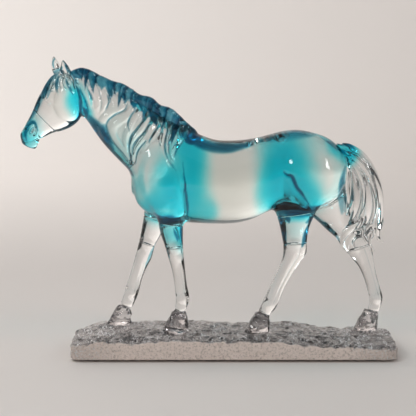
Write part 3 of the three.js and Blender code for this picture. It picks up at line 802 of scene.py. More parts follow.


# ---------------------------------------------------------------------------------------------------
# Materials

class Nodes:
    """Short names for the node tree of one material."""

    def __init__(self, name):
        self.material = bpy.data.materials.new(name)
        self.material.use_nodes = True
        self.tree = self.material.node_tree
        self.shader = self.tree.nodes["Principled BSDF"]

    def add(self, kind, **values):
        node = self.tree.nodes.new(kind)
        for key, value in values.items():
            setattr(node, key, value)
        return node

    def put(self, socket, value):
        if isinstance(value, bpy.types.NodeSocket):
            self.tree.links.new(value, socket)
        else:
            socket.default_value = value

    def place(self, kind):
        return self.add("ShaderNodeTexCoord").outputs[kind]

    def parts(self, vector):
        """The X, Y and Z of a vector."""
        node = self.add("ShaderNodeSeparateXYZ")
        self.put(node.inputs[0], vector)
        return node.outputs

    def both(self, first, second):
        node = self.add("ShaderNodeMath", operation="MULTIPLY")
        self.put(node.inputs[0], first)
        self.put(node.inputs[1], second)
        return node.outputs[0]

    def away_from(self, value, middle):
        """How far a value is from a middle one."""
        less = self.add("ShaderNodeMath", operation="SUBTRACT")
        self.put(less.inputs[0], value)
        less.inputs[1].default_value = middle
        size = self.add("ShaderNodeMath", operation="ABSOLUTE")
        self.put(size.inputs[0], less.outputs[0])
        return size.outputs[0]

    def noise(self, scale, detail=2.0, roughness=0.5, stretch=(1, 1, 1)):
        mapping = self.add("ShaderNodeMapping")
        self.put(mapping.inputs["Vector"], self.place("Object"))
        mapping.inputs["Scale"].default_value = stretch
        node = self.add("ShaderNodeTexNoise")
        self.put(node.inputs["Vector"], mapping.outputs["Vector"])
        node.inputs["Scale"].default_value = scale
        node.inputs["Detail"].default_value = detail
        node.inputs["Roughness"].default_value = roughness
        return node.outputs["Fac"]

    def ranged(self, value, low, high, to_low, to_high):
        node = self.add("ShaderNodeMapRange")
        for key, number in zip(("Value", "From Min", "From Max", "To Min", "To Max"),
                               (value, low, high, to_low, to_high)):
            self.put(node.inputs[key], number)
        return node.outputs["Result"]

    def mix(self, share, first, second, blend="MIX"):
        """A blend of two colours."""
        node = self.add("ShaderNodeMix", data_type="RGBA", blend_type=blend)
        for socket, value in zip([node.inputs[0], node.inputs[6], node.inputs[7]], (share, first, second)):
            self.put(socket, value)
        return node.outputs[2]

    def mix_values(self, share, first, second):
        node = self.add("ShaderNodeMix", data_type="FLOAT")
        for socket, value in zip([node.inputs[0], node.inputs[2], node.inputs[3]], (share, first, second)):
            self.put(socket, value)
        return node.outputs[0]

    def color_attribute(self, name):
        return self.add("ShaderNodeAttribute", attribute_name=name).outputs["Color"]

    def facing(self, blend):
        node = self.add("ShaderNodeLayerWeight")
        node.inputs["Blend"].default_value = blend
        return node.outputs["Facing"]

    def let_light_through(self, color):
        """Lets lamps shine through the glass, tinted, instead of leaving a black shadow."""
        clear = self.add("ShaderNodeBsdfTransparent")
        self.put(clear.inputs["Color"], color)
        mix = self.add("ShaderNodeMixShader")
        self.put(mix.inputs[0], self.add("ShaderNodeLightPath").outputs["Is Shadow Ray"])
        self.put(mix.inputs[1], self.shader.outputs["BSDF"])
        self.put(mix.inputs[2], clear.outputs["BSDF"])
        self.put(self.tree.nodes["Material Output"].inputs["Surface"], mix.outputs["Shader"])

    def bump(self, height, strength, distance):
        node = self.add("ShaderNodeBump")
        node.inputs["Strength"].default_value = strength
        node.inputs["Distance"].default_value = distance
        self.put(node.inputs["Height"], height)
        self.put(self.shader.inputs["Normal"], node.outputs["Normal"])


CLEAR = (0.985, 0.99, 0.985, 1)
SMOKE = (0.97, 0.94, 0.94, 1)
DARK_SMOKE = (0.64, 0.59, 0.59, 1)
# Rim colours are painted shade: the glass is darkened towards them where it is seen edge-on.
RIM_PAINTED_SHADE = (0.10, 0.17, 0.19, 1)
GREY_RIM_PAINTED_SHADE = (0.13, 0.15, 0.155, 1)
WARM_WHITE = (1.0, 0.86, 0.78, 1)
PIT_SHADE = (0.40, 0.34, 0.30, 1)
PALE_CROWN = (0.86, 0.82, 0.81, 1)
DARK_CROWN = (0.34, 0.32, 0.32, 1)
VEIN_SHADE = (0.07, 0.06, 0.065, 1)
# the white of the slab's painted highlights
PAINTED_HIGHLIGHT_WHITE = (1, 1, 1, 1)
RUBBER_BLACK = (0.012, 0.012, 0.014, 1)
RUBBER_GREY = (0.03, 0.03, 0.033, 1)
GLASS_IOR = 1.5
PLAIN_X = 0.02  # where along the slab the painted sparkle highlights of its ends are farthest, m


def glass_skin(m, color, rim, rim_shade_color):
    """Fire-polished glass, with painted shade where the eye looks along its skin: a darker rim that stands
    in for the dark surroundings refraction shows at the glass's edges.
    """
    edge = m.ranged(m.facing(0.5), 0.48, 0.96, 0, rim)
    color = m.mix(edge, color, m.mix(1.0, color, rim_shade_color, "MULTIPLY"))
    m.put(m.shader.inputs["Base Color"], color)
    m.put(m.shader.inputs["Roughness"], m.ranged(m.noise(140, 2), 0.4, 0.8, 0.0, 0.05))
    m.shader.inputs["Transmission Weight"].default_value = 1
    m.shader.inputs["IOR"].default_value = GLASS_IOR
    m.let_light_through(color)


def polished_glass(name, rim, rim_shade_color):
    """Crystal with its colour pockets and the shade painted into its dark bands and hollows."""
    m = Nodes(name)
    paler = tuple(0.93 * c for c in CLEAR[:3]) + (1,)
    color = m.mix(m.ranged(m.noise(55, 3), 0.35, 0.7, 0, 0.35), CLEAR, paler)
    glass_skin(m, m.mix(1.0, color, m.color_attribute("tint_and_shade"), "MULTIPLY"), rim, rim_shade_color)
    m.bump(m.noise(75, 2, 0.45), 0.10, 0.0006)
    return m.material


def smoky_glass():
    """Dark smoke that swirls through the hooves."""
    m = Nodes("smoky_glass")
    swirl = m.ranged(m.noise(210, 4, 0.6, (1, 1, 0.6)), 0.40, 0.66, 0, 1)
    glass_skin(m, m.mix(swirl, SMOKE, DARK_SMOKE), 0.72, RIM_PAINTED_SHADE)
    m.bump(m.noise(400, 3, 0.5), 0.35, 0.0005)
    return m.material


def cast_glass():
    """Rough-cast glass: a warm, pitted side, and a greyer, darker top with dark wavy veins and painted
    white glints, which are painted highlights. Painted sparkle highlights lie mostly at the slab's ends."""
    m = Nodes("cast_glass")
    grain = m.noise(480, 6, 0.8)
    flow = m.noise(150, 4, 0.55, (1, 0.5, 1))
    vein = m.ranged(m.away_from(m.noise(110, 3, 0.6, (1, 0.4, 1)), 0.5), 0.0, 0.045, 0, 1)
    normal = m.parts(m.place("Normal"))
    place = m.parts(m.place("Object"))
    top = m.ranged(normal["Z"], 0.3, 0.75, 0, 1)
    ends = m.ranged(m.away_from(place["X"], PLAIN_X), 0.085, 0.125, 0, 1)
    # Painted highlights: white glint lines, less clear where they lie so that they read as bright edges.
    painted_glint = m.ranged(m.away_from(m.noise(130, 4, 0.6, (1, 0.4, 1)), 0.555), 0.005, 0.02, 1, 0)
    painted_glint = m.both(painted_glint, m.ranged(ends, 0, 1, 0.6, 1))
    # Painted sparkle highlights: white specks, mostly at the slab's ends.
    painted_sparkle = m.both(ends, m.ranged(m.noise(700, 2), 0.56, 0.62, 0, 1))
    side = m.mix(m.ranged(grain, 0.50, 0.66, 0, 1), WARM_WHITE, PIT_SHADE)
    crown = m.mix(vein, VEIN_SHADE, m.mix(m.ranged(flow, 0.35, 0.65, 0, 1), PALE_CROWN, DARK_CROWN))
    crown = m.mix(painted_glint, crown, PAINTED_HIGHLIGHT_WHITE)
    m.put(m.shader.inputs["Base Color"], m.mix(painted_sparkle, m.mix(top, side, crown), PAINTED_HIGHLIGHT_WHITE))
    m.put(m.shader.inputs["Roughness"], m.mix_values(top, m.ranged(grain, 0.35, 0.7, 0.1, 0.3), 0.06))
    clear_side = m.ranged(ends, 0, 1, 0.22, 0.45)
    clear_top = m.ranged(painted_glint, 0, 1, 0.75, 0.15)
    m.put(m.shader.inputs["Transmission Weight"], m.mix_values(top, clear_side, clear_top))
    m.shader.inputs["IOR"].default_value = GLASS_IOR
    m.bump(m.mix_values(top, grain, flow), 0.9, 0.0016)
    return m.material


def foot_rubber():
    m = Nodes("foot_rubber")
    grain = m.noise(900, 3)
    m.put(m.shader.inputs["Base Color"], m.mix(grain, RUBBER_BLACK, RUBBER_GREY))
    m.put(m.shader.inputs["Roughness"], m.ranged(grain, 0.3, 0.7, 0.7, 0.95))
    m.bump(grain, 0.3, 0.0002)
    return m.material


def fused_face():
    """The face where two pieces melted into one: light goes straight through."""
    material = bpy.data.materials.new("fused_face")
    material.use_nodes = True
    tree = material.node_tree
    tree.nodes.clear()
    output = tree.nodes.new("ShaderNodeOutputMaterial")
    tree.links.new(tree.nodes.new("ShaderNodeBsdfTransparent").outputs[0], output.inputs["Surface"])
    return material


GLASS = polished_glass("tinted_glass", 0.75, RIM_PAINTED_SHADE)
CLEAR_GLASS = polished_glass("clear_glass", 0.6, GREY_RIM_PAINTED_SHADE)
SMOKY_GLASS = smoky_glass()
CAST_GLASS = cast_glass()
RUBBER = foot_rubber()
FUSED_FACE = fused_face()


# ---------------------------------------------------------------------------------------------------
# Pieces

def cut(mesh, point, direction):
    """Cuts off what lies past a plane across the XZ view and closes the cut with a fused face."""
    normal = Vector((direction[0], 0, direction[1])).normalized()
    place = Vector((point[0], 0, point[1]))
    parts = mesh.verts[:] + mesh.edges[:] + mesh.faces[:]
    bmesh.ops.bisect_plane(mesh, geom=parts, plane_co=place, plane_no=normal, clear_outer=True)
    rim = [edge for edge in mesh.edges if edge.is_boundary]
    faces = bmesh.ops.edgeloop_fill(mesh, edges=rim)["faces"]
    for face in bmesh.ops.triangulate(mesh, faces=faces)["faces"]:
        face.smooth = False
        face.material_index = 1
        if face.normal.dot(normal) < 0:
            face.normal_flip()


def add_piece(name, block, field, material, nodes, cuts=(), melted=(), tinted=True, shade=0.6):
    """Meshes a field, cuts it at its seams and puts it on the frame in place of the CAD nodes. The joints in
    melted are already cut in the field, and their faces only become fused ones. shade is how dark the
    shade painted into the piece's hollows is."""
    points, quads = block.surface(field)
    mesh = bmesh.new()
    for point in points:
        mesh.verts.new(point)
    mesh.verts.ensure_lookup_table()
    for quad in quads:
        mesh.faces.new([mesh.verts[i] for i in quad]).smooth = True
    if mesh.calc_volume(signed=True) < 0:
        bmesh.ops.reverse_faces(mesh, faces=mesh.faces)
    for seam in cuts:
        cut(mesh, *seam)
    for (px, pz), (dx, dz) in melted:
        down = Vector((dx, 0, dz)).normalized()
        for face in mesh.faces:
            middle = face.calc_center_median()
            away = (middle - Vector((px, middle.y, pz))).dot(down)
            if abs(away) < 2 * JOINT_GAP and abs(face.normal.dot(down)) > 0.97:
                face.smooth = False
                face.material_index = 1
    data = bpy.data.meshes.new(name)
    mesh.to_mesh(data)
    mesh.free()
    count = len(data.vertices)
    places = np.empty(count * 3)
    data.vertices.foreach_get("co", places)
    places = places.reshape(-1, 3)
    slopes = block.slope(field, places)
    corners = np.empty(len(data.loops), int)
    data.loops.foreach_get("vertex_index", corners)
    sizes = np.empty(len(data.polygons), int)
    data.polygons.foreach_get("loop_total", sizes)
    smooth = np.empty(len(data.polygons), bool)
    data.polygons.foreach_get("use_smooth", smooth)
    flat = np.empty(len(data.polygons) * 3)
    data.polygons.foreach_get("normal", flat)
    owner = np.repeat(np.arange(len(sizes)), sizes)
    normals = np.where(smooth[owner][:, None], slopes[corners], flat.reshape(-1, 3)[owner])
    data.vertices.foreach_set("co", (places * MM).ravel())
    data.normals_split_custom_set(normals.tolist())
    if tinted:
        # The glass's colour, and painted shade in its dark bands, cuts and hollows
        tints_and_shade = glass_tint_and_shade(places, shade * hollows(block, field, places))
        tints_and_shade = np.concatenate([tints_and_shade, np.ones((count, 1))], axis=1)
        data.attributes.new("tint_and_shade", "FLOAT_COLOR", "POINT").data.foreach_set("color", tints_and_shade.ravel())
    piece = bpy.data.objects.new(name, data)
    piece.data.materials.append(material)
    if cuts or melted:
        piece.data.materials.append(FUSED_FACE)
    bpy.context.collection.objects.link(piece)
    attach(piece, BODY)
    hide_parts(*nodes)
    return piece


def on_sides(block, low, high, left, right):
    """Relief that grows from nothing at low to its full height at high, away from the middle plane."""
    weight = step_up(np.abs(block.y), low, high)
    return weight * np.where(block.y < 0, left, right)


def past(block, joint, y=0.0, radius=FAR):
    """Negative past a joint's plane, within a radius of the joint's axis, and positive elsewhere."""
    (px, pz), (dx, dz) = joint
    length = math.hypot(dx, dz)
    along = ((block.x - px) * dx + (block.z - pz) * dz) / length
    aside = ((block.x - px) * dz - (block.z - pz) * dx) / length
    return np.maximum(-along, np.hypot(aside, block.y - y) - radius)


def between(field, after=None, before=None):
    """What of a solid lies past one joint and not past the next."""
    if after is not None:
        field = np.maximum(field, after + JOINT_GAP)
    if before is not None:
        field = np.maximum(field, JOINT_GAP - before)
    return field


def limb_relief(block, leg):
    """Tendons along the cannon, and the knuckles of knee and fetlock."""
    rows = LEGS[leg]
    x, z = block.x, block.z
    knee = LEG_JOINTS[leg]["knee"][0]
    fetlock = rows[-2]
    low = rows[KNEE_ROW:]
    tendon = [(r[0] - 0.35 * r[3], r[2] - 0.35 * r[4]) for r in low]
    shin = [(r[0] + 0.45 * r[3], r[2] + 0.45 * r[4]) for r in rows[2:6]]
    rise = groove(x, z, tendon, 0.9, 0.6) + groove(x, z, shin, 1.2, 0.5)
    rise = rise + swelling(x, z, knee, (6.5, 6), 0.9, 0, 0.9)
    rise = rise + swelling(x, z, (fetlock[0], fetlock[2]), (6, 5), 0.7, 0, 0.9)
    return step_up(np.abs(block.y - rows[KNEE_ROW, 1]), 0.5, 3.5) * rise


def body(block, skins, legs=(), hooves=()):
    """The horse's skin in a block, fused from its outlines, with its muscles and hair."""
    field = block.solid(skin(**SKINS[skins[0]]))
    for name in skins[1:]:
        if name in ("torso", "neck"):
            field = fuse(field, block.solid(skin(**SKINS[name])), MELT[name])
    for leg in legs:
        limb = block.solid(skin(**SKINS[leg])) - limb_relief(block, leg)
        field = fuse(field, limb, MELT["leg"])
    for leg in hooves:
        field = fuse(field, block.solid(skin(HOOVES[leg], **HOOF_SKIN)), MELT["hoof"])
    bulk = muscles(block.x, block.z)
    field = field - on_sides(block, *BODY_RELIEF, bulk + left_lines(block.x, block.z), bulk)
    if "head" in skins:
        look = face(block.x, block.z)
        head = block.solid(skin(**SKINS["head"])) - on_sides(block, *HEAD_RELIEF, look, look)
        field = fuse(field, head, MELT["head"])
    if "crest" in skins:
        field = fuse(field, block.solid(skin(**SKINS["crest"])), MELT["crest"])
        field = field - on_sides(block, *CREST_RELIEF, mane(block.x, block.z), crest_comb(block.x, block.z))
    return melt_over(field)


# The planes where head, neck and torso melted into each other, and the seam across the muzzle
MUZZLE_JOINT = ((-129.8, 188.2), (-0.71, -0.70))
POLL_PLANE = ((-105, 209), (0.97, 0.23))
WITHERS_PLANE = ((-35, 158), (0.70, -0.71))


def behind(plane):
    """The same plane, to keep what lies past it."""
    point, (dx, dz) = plane
    return point, (-dx, -dz)


def make_head():
    block = Block((-153, -15, 163), (-96, 15, 238), 0.6)
    field = body(block, ["neck", "head", "crest"])
    muzzle = past(block, MUZZLE_JOINT)
    add_piece("muzzle", block, between(field, after=muzzle), GLASS, ["muzzle"], shade=0.3)
    add_piece("head", block, between(field, before=muzzle), GLASS, ["head", "forelock"],
              [POLL_PLANE])


def make_neck():
    block = Block((-115, -30, 122), (-4, 30, 236), 0.75)
    locks = [f"mane_lock_{k}" for k in range(1, 11)]
    field = body(block, ["torso", "neck", "head", "crest"], ["left_fore", "right_fore"])
    add_piece("neck_and_mane", block, field, GLASS, ["neck", "mane_crest", *locks],
              [behind(POLL_PLANE), WITHERS_PLANE])


def leg_side(leg):
    return LEGS[leg][4, 1]


def make_torso():
    block = Block((-68, -36, 98), (117, 36, 200), 1.0)
    field = body(block, ["torso", "neck", "crest"], list(LEGS))
    for leg, joints in LEG_JOINTS.items():
        field = between(field, before=past(block, joints["top"], leg_side(leg), LEG_TOP_RADIUS))
    tops = [joints["top"] for joints in LEG_JOINTS.values()]
    add_piece("torso", block, field, GLASS, ["torso"], [behind(WITHERS_PLANE)], tops)


def make_leg(leg):
    rows = LEGS[leg]
    hoof = HOOVES[leg]
    ends = np.concatenate([rows[1:, [0, 2]] + rows[1:, 3:5], rows[1:, [0, 2]] - rows[1:, 3:5],
                           hoof[:, [0, 2]] + hoof[:, 3:5], hoof[:, [0, 2]] - hoof[:, 3:5]])
    low, high = ends.min(axis=0) - 4, ends.max(axis=0) + 4
    side = leg_side(leg)
    block = Block((low[0], side - 17, 12), (high[0], side + 17, high[1]), 0.6)
    field = body(block, ["torso"], [leg], [leg])
    joints = LEG_JOINTS[leg]
    top = past(block, joints["top"], side, LEG_TOP_RADIUS)
    knee, ankle = past(block, joints["knee"]), past(block, joints["ankle"])
    add_piece(f"{leg}_upper_leg", block, between(field, top, knee), GLASS,
              [f"{leg}_upper_leg"], melted=[joints["top"]])
    add_piece(f"{leg}_lower_leg", block, between(field, knee, ankle), GLASS,
              [f"{leg}_lower_leg"])
    foot = np.maximum(between(near_surface(block, field, hoof_chips), ankle), JOINT_GAP - ground(block))
    add_piece(f"{leg}_hoof", block, foot, SMOKY_GLASS, [f"{leg}_hoof"], tinted=False)


# ---------------------------------------------------------------------------------------------------
# The slab: rough-cast ground with flowing ridges on top and pitted sides

SLAB_LOW, SLAB_HIGH = (np.array(corner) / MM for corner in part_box("slab"))
SLAB_CORNER = 9  # radius of its corners, seen from above
SLAB_LIFT = 0.3  # how far the relief may stand out, so the plain sides are set in by as much
SLAB_EDGE = 2.5  # how far the edge round the top is melted
CROWN = 20.2  # height of the top, before it falls
SIDE_FALL = 3.2  # how much lower it is at its front and back edges
LEFT_FALL = 5  # at its left end, over LEFT_RAMP
LEFT_RAMP = 24
RIGHT_FALL = 1.5  # and at its right end, over RIGHT_RAMP
RIGHT_RAMP = 14
REAR_FALL = 5.2  # how much lower it is under the right hind hoof than under the others
REAR_SLOPE = (48, 118)  # X where that fall starts and ends
RIDGE_HEIGHT = 0.9
RIDGE_SIZE = (9, 13, 9)
FINE_HEIGHT = 0.8
FINE_SIZE = (3, 5, 9)
PIT_DEPTH = 0.35
CHIP_HEIGHT = 0.5


def ground_top(x, y):
    """Height of the slab's top: it falls to its edges, and has lumps, ridges and fine ridges."""
    side = (np.abs(y) / SLAB_HIGH[1]) ** 3
    left = 1 - step_up(x, SLAB_LOW[0], SLAB_LOW[0] + LEFT_RAMP)
    right = step_up(x, SLAB_HIGH[0] - RIGHT_RAMP, SLAB_HIGH[0])
    rear = step_up(x, *REAR_SLOPE)
    height = CROWN - SIDE_FALL * side - LEFT_FALL * left - RIGHT_FALL * right - REAR_FALL * rear
    lumps = 0.5 * np.sin(x / 11 + y / 17) + 0.45 * np.sin(y / 7 - x / 19 + 1)
    flow = x + 4 * cloud(x, y, 0 * x, (30, 12, 9), 5)
    ridges = 1 - np.abs(cloud(flow, y, 0 * x, RIDGE_SIZE, 6)) * 2
    fine = 1 - np.abs(cloud(flow, y, 0 * x, FINE_SIZE, 8)) * 2
    return height + lumps + RIDGE_HEIGHT * ridges + FINE_HEIGHT * (fine - 1)


def pits(x, y, z):
    """Pitted, chipped skin on the sides of the slab."""
    sides = 1 - step_up(z, 13, 18)
    chips = 1 - 2 * np.abs(cloud(x, y, z, (5, 5, 3.5), 9))
    return sides * PIT_DEPTH * (chips + cloud(x, y, z, (1.9, 1.9, 1.7), 10) - 1)


def hoof_chips(x, y, z):
    """Facets and chips of the hooves."""
    facets = 1 - 2.5 * np.abs(cloud(x, y, z, (5, 5, 6), 12))
    return CHIP_HEIGHT * (facets + 0.3 * cloud(x, y, z, (1.8, 1.8, 1.8), 13))


def ground(block):
    """The slab as a distance field."""
    x, y, z = block.x, block.y, block.z
    middle = (SLAB_LOW + SLAB_HIGH) / 2
    half = (SLAB_HIGH - SLAB_LOW) / 2 - SLAB_LIFT
    aside = np.abs(x - middle[0]) - (half[0] - SLAB_CORNER)
    across = np.abs(y) - (half[1] - SLAB_CORNER)
    plan = np.hypot(np.maximum(aside, 0), np.maximum(across, 0)) - SLAB_CORNER
    plan = plan + np.minimum(np.maximum(aside, across), 0)
    top = (z - ground_top(x, y)) * 0.9
    return near_surface(block, -fuse(-(plan + 0 * z), -top, SLAB_EDGE), pits)


def make_slab():
    block = Block((SLAB_LOW[0] - 3, -45, -1), (SLAB_HIGH[0] + 3, 45, 26), 0.8)
    field = np.maximum(ground(block), SLAB_LOW[2] - block.z)
    add_piece("slab", block, field, CAST_GLASS, ["slab"], tinted=False)


# ---------------------------------------------------------------------------------------------------
# Ears, tail and rubber feet

EARS = {
    "left_ear": strand([
        [-112.5, -6, 221, 3.0, 2.4],
        [-113.2, -6.8, 226.5, 4.2, 3.0],
        [-114.1, -7.4, 231, 3.8, 2.6],
        [-115.1, -7.3, 235, 2.1, 1.7],
        [-115.5, -7.1, 237.3, 0.9, 0.8],
    ]),
    "right_ear": strand([
        [-121.3, 6, 225.5, 2.6, 2.2],
        [-122.3, 6.8, 230.5, 3.6, 2.7],
        [-123.3, 7.1, 234.8, 3.0, 2.2],
        [-124.1, 7, 238.3, 1.6, 1.3],
        [-124.5, 6.8, 240.2, 0.7, 0.6],
    ]),
}
CUP_THIN = 0.62  # the ear's cup against the ear, in the side view
CUP_WIDE = 0.75  # and across it
CUP_SHIFT = (-0.8, 1.9)  # how far the cup lies forward and out, mm
CUP_MELT = 0.8  # how far the ear's rim is rounded
TAIL_MELT = 0.7  # how far the tail's strands run into each other
TAIL_FULLNESS = (1, 1, 1, 1.08, 1.08)  # makes each strand of the tail thicker, and leaves it in place
TAIL_SKIN = dict(sides=64, per_row=8, dome=(0.6, 0.6), lobe_depth=0.22)
TAIL = [  # centre line (x, y, z, half height, half width), twist
    ([[103, -1, 168, 3.6, 4.6], [109.5, -1.5, 165, 4.4, 4.8], [114.5, -2, 158.5, 4.2, 4.6],
      [116.8, -2, 149.5, 2.2, 2.8]], 2),
    ([[108, -2, 169, 2, 3], [114, -2, 167.5, 2.6, 3.6], [123.5, -2.5, 161, 3.2, 4.6],
      [132.2, -3, 149, 3.4, 5], [138, -3, 133.5, 3.4, 4.8], [139.3, -3, 118.5, 2.8, 4],
      [137.8, -3, 105, 2.2, 3], [137.5, -3, 93.5, 0.7, 1]], 5),
    ([[109, -5, 166, 1.6, 2], [119, -6.5, 160, 2.2, 2.6], [128, -7.5, 148.5, 2.4, 2.8],
      [133.5, -7.5, 133.5, 2.4, 2.8], [134.5, -7, 119, 2, 2.4], [131.5, -6.5, 106, 1.5, 2],
      [133, -6, 97, 0.6, 0.8]], 6),
    ([[115, -2, 162.5, 2, 4], [121.5, -3, 154, 3.6, 5.4], [127, -3.5, 142.5, 4.2, 5.6],
      [129.8, -3.5, 129, 4.2, 5.4], [129, -3.5, 115.5, 3.6, 4.6], [125, -3.5, 105, 2.6, 3.6],
      [119.5, -3, 98, 0.8, 1.2]], 5),
    ([[115, -6, 158, 1.4, 1.8], [121, -8, 148.5, 2, 2.4], [124.8, -8.5, 136.5, 2.2, 2.6],
      [124.2, -8, 123, 2, 2.4], [120, -7, 111, 1.4, 1.8], [115.5, -6, 103.5, 0.6, 0.8]], 7),
    ([[117, -2, 155.5, 2, 3.6], [119.5, -3, 147, 3, 4.6], [121.3, -3.5, 137, 3.6, 4.8],
      [121.3, -3.5, 126, 3.6, 4.6], [118.6, -3.5, 115.5, 2.8, 4], [114, -3, 106.5, 1, 1.4]], 4),
    ([[114.8, -2, 148, 1.4, 2.2], [115.4, -2.5, 140, 2.4, 3.4], [115, -3, 131, 2.6, 3.6],
      [113.8, -3, 122, 2, 2.8], [112, -3, 113, 0.7, 1]], 4),
    ([[137, -3.5, 103, 1.4, 1.8], [132.8, -4, 97, 1.6, 2], [131.2, -4, 90.5, 1.2, 1.5],
      [134.5, -4, 84.5, 0.6, 0.7]], 3),
    ([[128, -4, 108, 1.6, 2], [124.5, -4.5, 101, 1.5, 1.8], [126.5, -4.5, 94, 1.2, 1.5],
      [130, -4, 90, 0.6, 0.7]], 3),
    ([[130, -4, 112, 2.4, 2.8], [123, -5.5, 107.5, 3.2, 3.4], [115.5, -6, 103.5, 3.4, 3.4],
      [110.3, -6, 97, 3.2, 3.2], [109.6, -6, 89.5, 2.6, 2.8], [113, -6, 84, 1.2, 1.4]], 4),
    ([[132, -6, 106, 2.2, 2.4], [125.5, -7.5, 99.5, 3.0, 3.0], [119, -7.5, 97.5, 2.8, 2.8],
      [115.5, -7, 92, 2.2, 2.4], [118, -7, 87, 1.0, 1.2]], 4),
    ([[139.4, -4, 116, 1.4, 1.8], [139.8, -4.5, 107, 1.7, 1.9], [137.6, -4.5, 99.5, 1.4, 1.6],
      [138.8, -4.5, 93.5, 1.1, 1.2], [142, -4.5, 91.2, 0.5, 0.6]], 3),
]


def make_ear(name):
    rows = EARS[name]
    low = rows[:, :3].min(axis=0) - 8
    high = rows[:, :3].max(axis=0) + 8
    block = Block(low, (high[0], high[1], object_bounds()[1].z / MM + 2), 0.4)
    cup = rows.copy()
    cup[:, 3:5] *= CUP_THIN
    cup[:, 5] *= CUP_WIDE
    cup[:, 0] += CUP_SHIFT[0]
    cup[:, 1] += CUP_SHIFT[1] * np.sign(rows[:, 1])
    outside = block.solid(skin(rows, sides=36, dome=(0, 0.6)))
    field = carve(outside, block.solid(skin(cup[1:], sides=36)), CUP_MELT)
    head = block.solid(skin(**SKINS["head"]))
    field = np.maximum(field, JOINT_GAP - head)
    add_piece(name, block, melt_over(field), CLEAR_GLASS, [name], shade=0.0)


def make_tail():
    block = Block((97, -14, 80), (147, 6, 177), 0.55)
    field = None
    for k, (rows, twist) in enumerate(TAIL):
        rows = np.array(rows) * TAIL_FULLNESS
        lock = block.solid(skin(strand(rows), lobes=3 - k % 2, twist=twist, **TAIL_SKIN))
        field = lock if field is None else fuse(field, lock, TAIL_MELT)
    croup = body(block, ["torso"])
    thigh = block.solid(skin(**SKINS["right_hind"]))
    field = np.maximum(field, JOINT_GAP - np.minimum(croup, thigh))
    nodes = ["tail_dock", "tail_wisp", *(f"tail_strand_{k}" for k in ("outer", "upper", "middle", "inner"))]
    add_piece("tail", block, field, CLEAR_GLASS, nodes, shade=0.25)


def make_rubber_foot(name):
    low, high = (Vector(corner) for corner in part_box(name))
    middle = (low + high) / 2
    radius = (high.x - low.x) / 2
    height = high.z - low.z
    edge = 0.25 * height
    profile = [(radius - edge + edge * math.sin(a), low.z + edge - edge * math.cos(a))
               for a in np.linspace(0, math.pi / 2, 5)]
    profile += [(radius - 0.1 * edge, high.z - 0.5 * edge), (radius - 0.6 * edge, high.z)]
    profile = [(0.0, low.z), (0.6 * radius, low.z)] + profile + [(0.0, high.z)]
    data = bpy.data.meshes.new(name)
    mesh = bmesh.new()
    line = [mesh.verts.new((middle.x + r, middle.y, z)) for r, z in profile]
    edges = [mesh.edges.new(pair) for pair in zip(line, line[1:])]
    bmesh.ops.spin(mesh, geom=line + edges, cent=middle, axis=(0, 0, 1), angle=2 * math.pi, steps=48)
    bmesh.ops.remove_doubles(mesh, verts=mesh.verts, dist=1e-6)
    bmesh.ops.recalc_face_normals(mesh, faces=mesh.faces)
    for face in mesh.faces:
        face.smooth = True
    mesh.to_mesh(data)
    mesh.free()
    foot = bpy.data.objects.new(name + "_pad", data)
    foot.data.materials.append(RUBBER)
    bpy.context.collection.objects.link(foot)
    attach(foot, BODY)
    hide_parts(name)


make_head()
make_neck()
make_torso()
for limb in LEGS:
    make_leg(limb)
for ear in EARS:
    make_ear(ear)
make_tail()
make_slab()
for end in ("left", "right"):
    for row in ("front", "back"):
        make_rubber_foot(f"rubber_foot_{row}_{end}")


# ---------------------------------------------------------------------------------------------------
# Studio: a pale round bowl whose floor curves up into its wall, and soft lights

FLOOR_RADIUS = 1.7
BEND = 0.8
WALL_TOP = 2.6
PALE = (0.76, 0.715, 0.68, 1)
SHADED = (0.17, 0.17, 0.175, 1)
SKY = (0.75, 0.77, 0.80, 1)
SKY_STRENGTH = 0.25
GLASS_BOUNCES = 32
MIDDLE = (0, 0, 0.12)
LIGHTS = [  # name, place, target, size, power, whether the glass shows it
    ("key", (-0.9, -1.0, 1.1), MIDDLE, (0.3, 0.5), 5, True),
    ("side", (0.9, -0.55, 0.75), MIDDLE, (0.18, 0.36), 2.2, True),
    ("top", (-0.8, 0.4, 2.2), (-0.3, 0.7, 0), (2.0, 2.0), 17.5, False),
    ("backdrop", (-1.2, 0.9, 1.9), (-1.27, 2.36, 1.5), (1.1, 0.6), 39, False),
    ("fill", (-0.5, -1.6, 0.5), (0, 0, 0.03), (0.8, 0.4), 6.1, False),
]


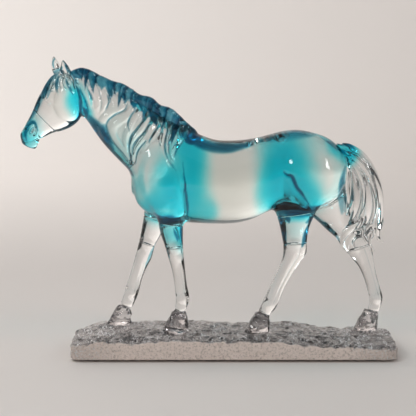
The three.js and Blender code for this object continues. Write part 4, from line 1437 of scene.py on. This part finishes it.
def backdrop_paint():
    """Pale paint that turns grey towards the sides of the wall, so that the glass gets dark edges."""
    m = Nodes("backdrop")
    place = m.parts(m.place("Object"))
    height = m.ranged(place["Z"], 0.02, 0.35, 0, 1)
    front = m.ranged(place["Y"], 1.7, 0.9, 0, 1)
    m.put(m.shader.inputs["Base Color"], m.mix(m.both(height, front), PALE, SHADED))
    m.shader.inputs["Roughness"].default_value = 0.6
    return m.material


def add_bowl():
    rim = [(FLOOR_RADIUS + BEND * math.sin(a), BEND - BEND * math.cos(a))
           for a in np.linspace(0, math.pi / 2, 13)]
    profile = [(r, 0) for r in (0.0, 0.2, 0.5, 1.0)] + rim + [(rim[-1][0], WALL_TOP)]
    mesh = bmesh.new()
    line = [mesh.verts.new((r, 0, z)) for r, z in profile]
    edges = [mesh.edges.new(pair) for pair in zip(line, line[1:])]
    bmesh.ops.spin(mesh, geom=line + edges, cent=(0, 0, 0), axis=(0, 0, 1), angle=2 * math.pi, steps=72)
    bmesh.ops.remove_doubles(mesh, verts=mesh.verts, dist=1e-6)
    for face in mesh.faces:
        face.smooth = True
    data = bpy.data.meshes.new("bowl")
    mesh.to_mesh(data)
    mesh.free()
    bowl = bpy.data.objects.new("bowl", data)
    bowl.data.materials.append(backdrop_paint())
    bpy.context.collection.objects.link(bowl)


def add_light(name, place, target, size, power, seen):
    """A soft light. An unseen one lights the studio but makes no highlight in the glass."""
    data = bpy.data.lights.new(name, "AREA")
    data.shape = "ELLIPSE"
    data.size, data.size_y = size
    data.energy = power
    light = bpy.data.objects.new(name, data)
    light.location = place
    light.rotation_euler = (Vector(target) - Vector(place)).to_track_quat("-Z", "Y").to_euler()
    light.visible_camera = False
    light.visible_glossy = seen
    light.visible_transmission = seen
    bpy.context.collection.objects.link(light)


def add_world():
    world = bpy.data.worlds.new("studio")
    bpy.context.scene.world = world
    world.use_nodes = True
    background = world.node_tree.nodes["Background"]
    background.inputs["Color"].default_value = SKY
    background.inputs["Strength"].default_value = SKY_STRENGTH


def add_studio():
    add_bowl()
    add_world()
    for light in LIGHTS:
        add_light(*light)
    scene = bpy.context.scene
    scene.view_settings.view_transform = "Standard"
    scene.cycles.max_bounces = GLASS_BOUNCES
    scene.cycles.transmission_bounces = GLASS_BOUNCES
    scene.cycles.transparent_max_bounces = GLASS_BOUNCES


add_studio()
